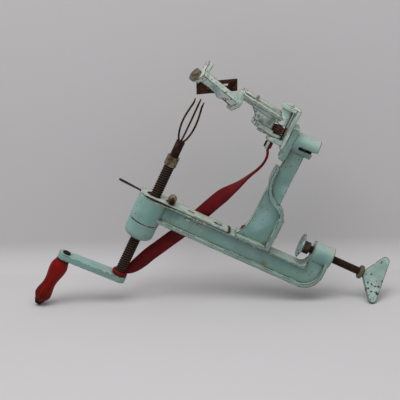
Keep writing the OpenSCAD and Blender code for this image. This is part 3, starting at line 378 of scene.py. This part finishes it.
def plated_steel(name, shades, skin, dark_end=None):
    """Worn grey plating or pale crust with rust coming through, and oily dark at one end."""
    material, tree = new_material(name)
    place = add(tree, "TexCoord", out="Object")
    coarse = add(tree, "TexNoise", lumps(place, 4, 4, 0.6))
    through = add(tree, "MapRange", {0: coarse, 1: 0.45, 2: 0.62}, **SMOOTH)
    base = add(tree, "Mix", {0: through, 6: skin, 7: shades.rust_light}, **COLOURS)
    if dark_end:
        base = add(tree, "Mix", {0: along(tree, place, *dark_end), 6: base, 7: shades.rust_dark}, **COLOURS)
    rough = add(tree, "MapRange", {0: coarse, 1: 0.4, 2: 0.7, 3: 0.4, 4: 0.75}, **SMOOTH)
    close(tree, base, rough, coarse, 0.15, 0.6, metallic=0.6)
    return material


def rubbed_pad(name, shades):
    """Clamp pad rubbed to grey metal on its rim, with dark rust round its socket."""
    material, tree = new_material(name)
    place = add(tree, "TexCoord", out="Object")
    coarse = add(tree, "TexNoise", lumps(place, 5, 4, 0.6))
    bright = add(tree, "MapRange", {0: coarse, 1: 0.4, 2: 0.6}, **SMOOTH)
    metal = add(tree, "Mix", {0: bright, 6: shades.pad, 7: shades.pad_pale}, **COLOURS)
    light = add(tree, "MapRange", {0: coarse, 1: 0.45, 2: 0.65}, **SMOOTH)
    rust = add(tree, "Mix", {0: light, 6: shades.rust_dark, 7: shades.rust_light}, **COLOURS)
    socket = along(tree, place, (156.2, 0, CLAMP_Z), (1, 0, 0), 0.0, 1.2)
    spots = add(tree, "MapRange", {0: coarse, 1: 0.58, 2: 0.64}, **SMOOTH)
    rusted = add(tree, "Math", {0: socket, 1: spots}, operation="MAXIMUM")
    base = add(tree, "Mix", {0: rusted, 6: metal, 7: rust}, **COLOURS)
    rough = add(tree, "MapRange", {0: rusted, 3: 0.35, 4: 0.75}, **SMOOTH)
    close(tree, base, rough, coarse, 0.15, 0.6, metallic=0.4)
    return material


def painted_wood(name, shades):
    """Red gloss paint on a turned handle: worn brown in streaks down the grip, dark at its lower end, and a
    painted shade at its upper end under the crank.
    """
    material, tree = new_material(name)
    place = add(tree, "TexCoord", out="Object")
    # Pulling the pattern out along the handle turns its patches into streaks
    run = reach(tree, place, HANDLE_TOP, HANDLE_WAY)
    pull = add(tree, "VectorMath", {0: bench_way(HANDLE_WAY), "Scale": run}, operation="SCALE")
    pull = add(tree, "VectorMath", {0: pull, "Scale": 0.8}, operation="SCALE")
    drawn = add(tree, "VectorMath", {0: place, 1: pull}, operation="SUBTRACT")
    patch = add(tree, "TexNoise", lumps(drawn, 4.5, 4, 0.6))
    fine = add(tree, "TexNoise", lumps(drawn, 1.2, 3, 0.6))
    mixed = add(tree, "Math", {0: fine, 1: 0.3}, operation="MULTIPLY")
    mixed = add(tree, "Math", {0: patch, 1: 0.7, 2: mixed}, operation="MULTIPLY_ADD")
    # The grip is darker and browner towards its lower end
    lower = along(tree, place, HANDLE_TOP, HANDLE_WAY, 12, 56)
    worn = add(tree, "Math", {0: lower, 1: 0.16, 2: mixed}, operation="MULTIPLY_ADD")
    worn = add(tree, "MapRange", {0: worn, 1: 0.5, 2: 0.76}, **SMOOTH)
    base = add(tree, "Mix", {0: worn, 6: shades.red, 7: shades.red_worn}, **COLOURS)
    # A painted shade at the upper end under the crank, and a dark band at the lower end
    shade_under_crank = along(tree, place, HANDLE_TOP, HANDLE_WAY, 3.2, 0.8)
    lower_rim = along(tree, place, HANDLE_TOP, HANDLE_WAY, 51, 52.6)
    dark_end_and_shade = add(tree, "Math", {0: shade_under_crank, 1: lower_rim}, operation="ADD")
    dark_end_and_shade = add(tree, "Math", {0: dark_end_and_shade, 1: 0.85}, operation="MULTIPLY")
    base = add(tree, "Mix", {0: dark_end_and_shade, 6: base, 7: shades.rust_dark}, **COLOURS)
    rough = add(tree, "MapRange", {0: worn, 3: 0.45, 4: 0.65}, **SMOOTH)
    close(tree, base, rough, mixed, 0.2, 0.5, shine=0.12)
    return material


def red_rubber(name, shades):
    """Dull red rubber with a faint bloom."""
    material, tree = new_material(name)
    place = add(tree, "TexCoord", out="Object")
    patch = add(tree, "TexNoise", lumps(place, 12))
    dark = add(tree, "MapRange", {0: patch, 1: 0.35, 2: 0.7}, **SMOOTH)
    base = add(tree, "Mix", {0: dark, 6: shades.rubber, 7: shades.rubber_dark}, **COLOURS)
    close(tree, base, 0.6, add(tree, "TexNoise", lumps(place, 1.6, 2)), 0.1, 0.5, shine=0.15)
    return material


def paper(name, shades):
    """Plain matt paper, clear from behind so that the part is seen from every side."""
    material, tree = new_material(name)
    matt = add(tree, "BsdfDiffuse", {"Color": shades.paper})
    clear = add(tree, "BsdfTransparent")
    back = add(tree, "NewGeometry", out="Backfacing")
    add(tree, "OutputMaterial", {"Surface": add(tree, "MixShader", {0: back, 1: matt, 2: clear})})
    return material


def piece(name, bm, material, smooth=True):
    """A mesh object in the part's own frame, from a bmesh."""
    mesh = bpy.data.meshes.new(name)
    bm.to_mesh(mesh)
    bm.free()
    for face in mesh.polygons:
        face.use_smooth = smooth
    thing = bpy.data.objects.new(name, mesh)
    bpy.context.scene.collection.objects.link(thing)
    thing.data.materials.append(material)
    return thing


def lathe(bm, profile, steps=48):
    """Turns a profile of radius and height about z."""
    before = set(bm.verts)
    verts = [bm.verts.new((r, 0, z)) for r, z in profile]
    edges = [bm.edges.new(pair) for pair in zip(verts, verts[1:])]
    bmesh.ops.spin(
        bm, geom=verts + edges, cent=(0, 0, 0), axis=(0, 0, 1), angle=2 * math.pi, steps=steps, use_merge=True
    )
    bmesh.ops.remove_doubles(bm, verts=[v for v in bm.verts if v not in before], dist=1e-4)
    made = [v for v in bm.verts if v not in before]
    bmesh.ops.recalc_face_normals(bm, faces=list({f for v in made for f in v.link_faces}))


def cut_off(bm, spot, way):
    """Cuts away what lies past a plane, and closes the cut."""
    cut = bmesh.ops.bisect_plane(
        bm, geom=list(bm.verts) + list(bm.edges) + list(bm.faces), plane_co=spot, plane_no=way,
        clear_outer=True,
    )
    rim = [e for e in cut["geom_cut"] if isinstance(e, bmesh.types.BMEdge)]
    bmesh.ops.edgeloop_fill(bm, edges=rim)


def thread(bm, low, high, radius, depth, pitch, steps=20):
    """A screw thread about z in millimetres, cut square at both ends."""
    root = radius - depth
    # Radius at shares of one pitch: a flat root, a slope, a flat crest and a slope back
    marks = ((root, 0), (root, 0.1), (radius, 0.42), (radius, 0.58), (root, 0.9), (root, 1))
    verts = [bm.verts.new((r, 0, low - pitch + share * pitch)) for r, share in marks]
    edges = [bm.edges.new(pair) for pair in zip(verts, verts[1:])]
    turns = math.ceil((high - low) / pitch) + 2
    bmesh.ops.spin(
        bm, geom=verts + edges, cent=(0, 0, 0), axis=(0, 0, 1), dvec=(0, 0, pitch / steps),
        angle=2 * math.pi * turns, steps=steps * turns,
    )
    bmesh.ops.remove_doubles(bm, verts=list(bm.verts), dist=1e-3)
    for z, up in ((low, -1), (high, 1)):
        cut_off(bm, (0, 0, z), (0, 0, up))
    bmesh.ops.recalc_face_normals(bm, faces=list(bm.faces))


def skin_over(bm, rings):
    """Joins closed rings of edges in a row, closes both ends and turns the faces outwards."""
    for low, high in zip(rings, rings[1:]):
        bmesh.ops.bridge_loops(bm, edges=low + high)
    for rim in (rings[0], rings[-1]):
        bmesh.ops.edgeloop_fill(bm, edges=rim)
    bmesh.ops.recalc_face_normals(bm, faces=list(bm.faces))


def ring_of(bm, spots):
    """A closed ring of edges through some points."""
    verts = [bm.verts.new(spot) for spot in spots]
    return [bm.edges.new(pair) for pair in zip(verts, verts[1:] + verts[:1])]


def tube(bm, path, radii, sides=12):
    """A round wire along a list of points, closed at both ends."""
    rings = []
    # Any direction that no wire here starts along; each ring takes it on from the one before
    side = Vector((0.31, 0.9, 0.24))
    angles = [2 * math.pi * k / sides for k in range(sides)]
    for i, spot in enumerate(path):
        run = (path[min(i + 1, len(path) - 1)] - path[max(i - 1, 0)]).normalized()
        side = (side - run * side.dot(run)).normalized()
        other = run.cross(side)
        spots = [spot + (side * math.cos(a) + other * math.sin(a)) * radii[i] for a in angles]
        rings.append(ring_of(bm, spots))
    skin_over(bm, rings)


def coil(radius, pitch, turns, leg, steps=28):
    """Points of a helix round z with a straight leg at each end."""
    turn = [2 * math.pi * i / steps for i in range(steps * turns + 1)]
    wound = [Vector((radius * math.cos(a), radius * math.sin(a), pitch * a / (2 * math.pi))) for a in turn]
    first = [Vector((radius, -leg * share, 0)) for share in (1, 0.5)]
    last = [Vector((radius, leg * share, pitch * turns)) for share in (0.5, 1)]
    return first + wound + last


class PEELER_OT_stage(bpy.types.Operator):
    """Paper floor and backdrop, studio light and the camera"""

    bl_idname = "peeler.stage"
    bl_label = "Stage"

    def execute(self, context):
        scene = context.scene
        shades, sizes = scene.peeler_colours, scene.peeler_sizes
        floor = CAD_BOX[0][2]
        bm = bmesh.new()
        bend = [
            (PAPER_BEND + PAPER_BEND_R * math.sin(a), PAPER_BEND_R - PAPER_BEND_R * math.cos(a))
            for a in (math.radians(15 * i) for i in range(7))
        ]
        line = [(PAPER_FRONT, 0), *bend, (PAPER_BEND + PAPER_BEND_R, PAPER_TOP)]
        verts = [bm.verts.new((-PAPER_HALF, y, floor + z)) for y, z in line]
        edges = [bm.edges.new(pair) for pair in zip(verts, verts[1:])]
        grown = bmesh.ops.extrude_edge_only(bm, edges=edges)["geom"]
        far_side = [v for v in grown if isinstance(v, bmesh.types.BMVert)]
        bmesh.ops.translate(bm, vec=(2 * PAPER_HALF, 0, 0), verts=far_side)
        bmesh.ops.recalc_face_normals(bm, faces=list(bm.faces))
        # The floor's front has to look up, because the paper is clear from behind
        first = min(bm.faces, key=lambda f: f.calc_center_median().z)
        first.normal_update()
        if first.normal.z < 0:
            bmesh.ops.reverse_faces(bm, faces=list(bm.faces))
        piece("paper_sweep", bm, paper("matt_paper", shades))

        # More floor behind the wall, for views from behind
        bm = bmesh.new()
        bmesh.ops.create_grid(bm, x_segments=1, y_segments=1, size=1)
        lay = Matrix.Translation((0, BEHIND_EDGE + BEHIND_HALF, floor - BEHIND_UNDER))
        lay = lay @ Matrix.Diagonal((PAPER_HALF, BEHIND_HALF, 1, 1))
        bmesh.ops.transform(bm, matrix=lay, verts=list(bm.verts))
        piece("paper_behind", bm, bpy.data.materials["matt_paper"])

        world = bpy.data.worlds.new("studio")
        world.use_nodes = True
        world.node_tree.nodes["Background"].inputs[0].default_value = shades.sky
        world.node_tree.nodes["Background"].inputs[1].default_value = SKY_STRENGTH
        scene.world = world
        for name, spot, aim, size, power in LAMPS:
            lamp = bpy.data.lights.new(name, "AREA")
            lamp.size = size
            lamp.energy = power
            holder = bpy.data.objects.new(name, lamp)
            holder.location = spot
            holder.rotation_euler = (Vector(spot) - Vector(aim)).to_track_quat("Z", "Y").to_euler()
            scene.collection.objects.link(holder)

        level = math.cos(CAMERA_RISE)
        back = Vector((math.sin(CAMERA_TURN) * level, -math.cos(CAMERA_TURN) * level, math.sin(CAMERA_RISE)))
        right = Vector((math.cos(CAMERA_TURN), math.sin(CAMERA_TURN), 0))
        up = back.cross(right)
        c, s = math.cos(CAMERA_ROLL), math.sin(CAMERA_ROLL)
        right, up = right * c + up * s, up * c - right * s
        camera = bpy.data.cameras.new("camera")
        camera.sensor_fit = "HORIZONTAL"
        camera.sensor_width = CAMERA_SENSOR
        camera.lens = CAMERA_LENS
        camera.clip_end = 20
        eye = bpy.data.objects.new("camera", camera)
        spot = CAMERA_AIM * MM + back * sizes.camera_reach
        eye.matrix_world = Matrix.Translation(spot) @ Matrix((right, up, back)).transposed().to_4x4()
        scene.collection.objects.link(eye)
        scene.camera = eye
        scene.view_settings.view_transform = "Standard"
        return {"FINISHED"}


class PEELER_OT_finishes(bpy.types.Operator):
    """Enamel, rust, plating, paint and rubber on the solids"""

    bl_idname = "peeler.finishes"
    bl_label = "Finishes"

    def execute(self, context):
        shades = context.scene.peeler_colours
        # Each finish and the solids that have it. The pieces made later take theirs by name.
        looks = {
            enamel_on_casting("enamel_whole", shades, chips=0.45, edges=1.05): (
                "thread_cap", "crank_arm", "guide_screw"),
            enamel_on_casting("enamel_beam", shades, edges=1.2, top_wear_and_light=0.5, marks=BEAM_MARKS): ("main_frame",),
            enamel_on_casting(
                "enamel_rubbed", shades, chips=0.6, edges=1.2, top_wear_and_light=0.6, fade=0.12, upright_shade=0.36,
                marks=POST_MARKS,
            ): ("post",),
            enamel_on_casting(
                "enamel_bleached", shades, chips=0.6, edges=1.2, top_wear_and_light=0.6, fade=0.75, upright_shade=0.05,
            ): ("pivot_bracket", "pivot_pin"),
            enamel_on_casting(
                "enamel_worn", shades, chips=1.15, edges=1.3, top_wear_and_light=1.0, fade=0.8, upright_shade=0.02, marks=ARM_MARKS,
            ): ("blade_arm",),
            enamel_on_casting(
                "enamel_thumbed", shades, edges=1.1, top_wear_and_light=0.6, fade=0.4, upright_shade=0.2, bare_ends=PLATE_BARE,
                marks=PLATE_MARKS,
            ): ("release_plate",),
            enamel_on_casting(
                "enamel_flaked", shades, chips=1.35, edges=1.6, fade=0.3, upright_shade=0.1, fleck=3.4,
            ): ("clamp_wing",),
            rusted_steel("brown_rust", shades): (
                "post_screws", "guide_pin", "return_spring", "stud_nut", "strap_rivet", "fork_ferrule",
                "handle_pin", "handle_end_nut"),
            rusted_steel("thread_rust_feed", shades, crest=FEED_CREST): ("lead_screw",),
            rusted_steel("thread_rust_clamp", shades, crest=CLAMP_CREST): ("clamp_screw",),
            rusted_steel("brown_rust_bright", shades, metallic=0.2, lift=0.95): (
                "peeling_blade", "torsion_spring", "fork_prongs"),
            plated_steel("plating_worn_through", shades, shades.plated): ("fork_collar", "blade_pin"),
            plated_steel(
                "crusted_steel", shades, shades.crust, ((STUD_X, -4.6, CROSS_PIN_Z), (0, -1, 0), 0, 0.4),
            ): ("spring_stud",),
            rubbed_pad("pad_rubbed_grey", shades): ("pressure_pad",),
            painted_wood("red_gloss_on_wood", shades): ("crank_handle",),
            red_rubber("aged_red_rubber", shades): ("strap_band", "strap_eyelet"),
        }
        for material, names in looks.items():
            for name in names:
                NODES[name].data.materials.clear()
                NODES[name].data.materials.append(material)
        return {"FINISHED"}


class PEELER_OT_feed_thread(bpy.types.Operator):
    """Feed screw with its thread, in place of the plain shaft"""

    bl_idname = "peeler.feed_thread"
    bl_label = "Feed thread"

    def execute(self, context):
        sizes = context.scene.peeler_sizes
        low, high, radius = -95, 33, 5.5
        bm = bmesh.new()
        thread(bm, low, high, radius, sizes.feed_depth / MM, sizes.feed_pitch / MM)
        # Plain ends: one in the crank below, one in the fork above
        lathe(bm, ((0, -101), (3.2, -101), (4, -100.4), (4, low), (0, low)), 32)
        lathe(bm, ((0, high), (2.5, high), (2.5, 51.5), (0, 51.5)), 24)
        bmesh.ops.transform(bm, matrix=BENCH, verts=list(bm.verts))
        screw = piece("feed_screw_thread", bm, bpy.data.materials["thread_rust_feed"], False)
        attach(screw, "crank")
        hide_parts("lead_screw")
        return {"FINISHED"}


class PEELER_OT_clamp_thread(bpy.types.Operator):
    """Clamp screw with its thread and collar, in place of the plain shaft"""

    bl_idname = "peeler.clamp_thread"
    bl_label = "Clamp thread"

    def execute(self, context):
        sizes = context.scene.peeler_sizes
        low, high, radius = 158, 219.4, 4
        bm = bmesh.new()
        thread(bm, low, high, radius, sizes.clamp_depth / MM, sizes.clamp_pitch / MM)
        # Collar under the wing
        lathe(bm, ((0, 219), (6, 219), (7, 219.8), (7, 222.2), (6.2, 223), (4, 223), (4, 224), (0, 224)))
        lay = BENCH @ Matrix.Translation((0, 0, CLAMP_Z)) @ Matrix.Rotation(math.radians(90), 4, "Y")
        bmesh.ops.transform(bm, matrix=lay, verts=list(bm.verts))
        screw = piece("clamp_screw_thread", bm, bpy.data.materials["thread_rust_clamp"], False)
        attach(screw, "clamp")
        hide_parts("clamp_screw")
        return {"FINISHED"}


def strap_point(share):
    """Place, width and turn of the strap at a share of its route, on a smooth curve through its points."""
    spot = share * (len(STRAP) - 1)
    i = min(int(spot), len(STRAP) - 2)
    t = spot - i
    a, b, c, d = (STRAP[min(max(k, 0), len(STRAP) - 1)] for k in (i - 1, i, i + 1, i + 2))
    return [
        0.5 * (2 * q + (r - p) * t + (2 * p - 5 * q + 4 * r - s) * t * t + (3 * q - p - 3 * r + s) * t ** 3)
        for p, q, r, s in zip(a, b, c, d)
    ]


class PEELER_OT_strap(bpy.types.Operator):
    """Red rubber strap from the eyelet on the feed screw up to the bracket, twisting on its way"""

    bl_idname = "peeler.strap"
    bl_label = "Strap"

    def execute(self, context):
        sizes = context.scene.peeler_sizes
        steps = sizes.strap_steps
        half = sizes.strap_thick / MM / 2
        round_off = 0.5
        bm = bmesh.new()
        rings = []
        for i in range(steps + 1):
            x, y, z, width, turn = strap_point(i / steps)
            ahead, behind = strap_point(min((i + 0.5) / steps, 1)), strap_point(max((i - 0.5) / steps, 0))
            run = (Vector(ahead[:3]) - Vector(behind[:3])).normalized()
            flat = run.cross(Vector((0, 1, 0))).normalized()
            out = flat.cross(run)
            c, s = math.cos(math.radians(turn)), math.sin(math.radians(turn))
            wide, thick = flat * c + out * s, out * c - flat * s
            edge, inner = width / 2, width / 2 - round_off
            section = (
                (edge, 0.45), (inner, 1), (-inner, 1), (-edge, 0.45),
                (-edge, -0.45), (-inner, -1), (inner, -1), (edge, -0.45),
            )
            rings.append(ring_of(bm, [Vector((x, y, z)) + wide * u + thick * v * half for u, v in section]))
        skin_over(bm, rings)
        bmesh.ops.transform(bm, matrix=BENCH, verts=list(bm.verts))
        strap = piece("rubber_strap", bm, bpy.data.materials["aged_red_rubber"])
        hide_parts("strap_band")
        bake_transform(strap)
        return {"FINISHED"}


class PEELER_OT_eyelet(bpy.types.Operator):
    """Rounded rubber ring of the strap round the feed screw"""

    bl_idname = "peeler.eyelet"
    bl_label = "Strap eyelet"

    def execute(self, context):
        bm = bmesh.new()
        lathe(bm, (
            (5.6, -94.4), (6.6, -94.7), (7.5, -94.2), (8, -93), (8, -91.8), (7.5, -90.6),
            (6.6, -90.2), (5.6, -90.5), (5.6, -94.4),
        ))
        bmesh.ops.transform(bm, matrix=BENCH, verts=list(bm.verts))
        ring = piece("strap_ring", bm, bpy.data.materials["aged_red_rubber"])
        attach(ring, "carrier")
        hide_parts("strap_eyelet")
        return {"FINISHED"}


class PEELER_OT_springs(bpy.types.Operator):
    """Round wire of the torsion spring on the pivot and of the return spring on the stud's cross pin"""

    bl_idname = "peeler.springs"
    bl_label = "Springs"

    def execute(self, context):
        on_pivot = Matrix.Translation((PIVOT_X, 0, 108.5))
        lying = Matrix.Rotation(math.radians(90), 4, "X")
        on_cross_pin = Matrix.Translation((STUD_X, -4.15, CROSS_PIN_Z)) @ lying
        # The solid that a spring stands for, the radius of its wire, its windings and its place
        wound = (
            ("torsion_spring", 0.9, coil(6.2, 2.3, 3, 3.6), on_pivot),
            ("return_spring", 0.55, coil(2.45, 1.7, 3, 2.2), on_cross_pin),
        )
        for node, radius, path, lay in wound:
            bm = bmesh.new()
            tube(bm, path, [radius] * len(path))
            bmesh.ops.transform(bm, matrix=BENCH @ lay, verts=list(bm.verts))
            spring = piece(node + "_wire", bm, bpy.data.materials["brown_rust_bright"])
            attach(spring, "frame")
            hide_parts(node)
        return {"FINISHED"}


class PEELER_OT_prongs(bpy.types.Operator):
    """Three bowed prongs of the fork, drawn to blunt points that flare a little"""

    bl_idname = "peeler.prongs"
    bl_label = "Fork prongs"

    def execute(self, context):
        bm = bmesh.new()
        steps = 28
        # Distances of a prong from the fork's axis, the share of it where the flare begins,
        # and heights of the bowed length and of the stem in the collar
        base, bulge, tip, flare, flare_from = 3.1, 7.6, 4.0, 1.6, 0.84
        low, rise = 61.5, 44.5
        stem = (55, 60)
        first_turn, count = 84, 3
        for k in range(count):
            path = [Vector((base, 0, z)) for z in stem]
            for i in range(steps + 1):
                u = i / steps
                out = base + (bulge - base) * math.sin(math.pi * u ** 0.8) + (tip - base) * u * u
                out += flare * max(0, (u - flare_from) / (1 - flare_from)) ** 2
                path.append(Vector((out, 0, low + rise * u)))
            radii = [1.0] * (len(path) - 3) + [0.9, 0.7, 0.45]
            turn = Matrix.Rotation(math.radians(first_turn + 360 / count * k), 3, "Z")
            tube(bm, [turn @ spot for spot in path], radii)
        bmesh.ops.transform(bm, matrix=BENCH, verts=list(bm.verts))
        prongs = piece("fork_prong_wires", bm, bpy.data.materials["brown_rust_bright"])
        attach(prongs, "crank")
        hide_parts("fork_prongs")
        return {"FINISHED"}


class PEELER_OT_release_plate(bpy.types.Operator):
    """Release plate with its thumb tab as a thin bent strip"""

    bl_idname = "peeler.release_plate"
    bl_label = "Release plate"

    def execute(self, context):
        bm = bmesh.new()
        bm.from_mesh(NODES["release_plate"].data)
        bmesh.ops.remove_doubles(bm, verts=list(bm.verts), dist=0.001 * MM)
        cut_off(bm, bench(-15.2, 0, 0), BENCH.to_3x3() @ Vector((-1, 0, 0)))
        bmesh.ops.recalc_face_normals(bm, faces=list(bm.faces))
        plate = piece("release_plate_sheet", bm, bpy.data.materials["enamel_thumbed"], False)
        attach(plate, "release")
        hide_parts("release_plate")

        # The tab runs out from inside the plate, widens, rises a little and ends round
        tab_x, tab_reach, tab_z, tab_rise = -14.6, 25.4, -2.6, 1.6
        half_near, half_more, round_from = 1.5, 1.7, 0.86
        bm = bmesh.new()
        bmesh.ops.create_grid(bm, x_segments=24, y_segments=4, size=0.5)
        for vert in bm.verts:
            far = vert.co.x + 0.5
            half = half_near + half_more * far
            if far > round_from:
                half *= math.sqrt(max(1 - ((far - round_from) / (1 - round_from)) ** 2, 0.02))
            vert.co = Vector((tab_x - tab_reach * far, 2 * half * vert.co.y, tab_z + tab_rise * far))
        bmesh.ops.recalc_face_normals(bm, faces=list(bm.faces))
        bmesh.ops.solidify(bm, geom=list(bm.faces), thickness=context.scene.peeler_sizes.tab_thick / MM)
        bmesh.ops.recalc_face_normals(bm, faces=list(bm.faces))
        bmesh.ops.transform(bm, matrix=BENCH, verts=list(bm.verts))
        tab = piece("thumb_tab", bm, bpy.data.materials["brown_rust"], False)
        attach(tab, "release")
        return {"FINISHED"}


class PEELER_OT_spring_stud(bpy.types.Operator):
    """Spring stud with its domed knob and the cross pin that carries the return spring"""

    bl_idname = "peeler.spring_stud"
    bl_label = "Spring stud"

    def execute(self, context):
        bm = bmesh.new()
        lathe(bm, (
            (0, -13), (2, -13), (2, -1.5), (3.5, -1.5), (4.2, -0.9), (4.4, 0.4), (4.3, 2.6), (3.9, 4.4),
            (2.9, 5.9), (1.5, 6.7), (0, 6.9),
        ), 32)
        tube(bm, [Vector((0, y, CROSS_PIN_Z)) for y in (-2, -5, -9.2)], [1.4] * 3)
        bmesh.ops.transform(bm, matrix=BENCH @ Matrix.Translation((STUD_X, 0, 0)), verts=list(bm.verts))
        stud = piece("spring_stud_knob", bm, bpy.data.materials["crusted_steel"])
        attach(stud, "frame")
        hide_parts("spring_stud")
        return {"FINISHED"}


class PEELER_OT_casting_pip(bpy.types.Operator):
    """Small oval pip left by the casting on the web of the beam"""

    bl_idname = "peeler.casting_pip"
    bl_label = "Casting pip"

    def execute(self, context):
        bm = bmesh.new()
        bmesh.ops.create_uvsphere(bm, u_segments=24, v_segments=12, radius=1)
        spot, halves = (39.5, -5.5, -9.4), (3.2, 1.1, 1.7)
        lay = BENCH @ Matrix.Translation(spot) @ Matrix.Diagonal((*halves, 1))
        bmesh.ops.transform(bm, matrix=lay, verts=list(bm.verts))
        pip = piece("casting_pip", bm, bpy.data.materials["enamel_bleached"])
        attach(pip, "frame")
        return {"FINISHED"}


class PEELER_PT_panel(bpy.types.Panel):
    """Sizes, colours and the steps of the peeler"""

    bl_idname = "PEELER_PT_panel"
    bl_label = "Fruit Peeler"
    bl_space_type = "VIEW_3D"
    bl_region_type = "UI"
    bl_category = "Peeler"

    def draw(self, context):
        for group in (context.scene.peeler_sizes, context.scene.peeler_colours):
            for name in group.__annotations__:
                self.layout.prop(group, name)
        for step in STEPS:
            self.layout.operator(step.bl_idname)


STEPS = (
    PEELER_OT_stage, PEELER_OT_finishes, PEELER_OT_feed_thread, PEELER_OT_clamp_thread, PEELER_OT_strap,
    PEELER_OT_eyelet, PEELER_OT_springs, PEELER_OT_prongs, PEELER_OT_release_plate, PEELER_OT_spring_stud,
    PEELER_OT_casting_pip,
)
CLASSES = (PeelerSizes, PeelerColours, *STEPS, PEELER_PT_panel)


def register():
    for cls in CLASSES:
        bpy.utils.register_class(cls)
    bpy.types.Scene.peeler_sizes = PointerProperty(type=PeelerSizes)
    bpy.types.Scene.peeler_colours = PointerProperty(type=PeelerColours)


def unregister():
    del bpy.types.Scene.peeler_colours
    del bpy.types.Scene.peeler_sizes
    for cls in reversed(CLASSES):
        bpy.utils.unregister_class(cls)


def main():
    register()
    bpy.ops.peeler.stage()
    bpy.ops.peeler.finishes()
    bpy.ops.peeler.feed_thread()
    bpy.ops.peeler.clamp_thread()
    bpy.ops.peeler.strap()
    bpy.ops.peeler.eyelet()
    bpy.ops.peeler.springs()
    bpy.ops.peeler.prongs()
    bpy.ops.peeler.release_plate()
    bpy.ops.peeler.spring_stud()
    bpy.ops.peeler.casting_pip()


if __name__ == "__main__":
    main()
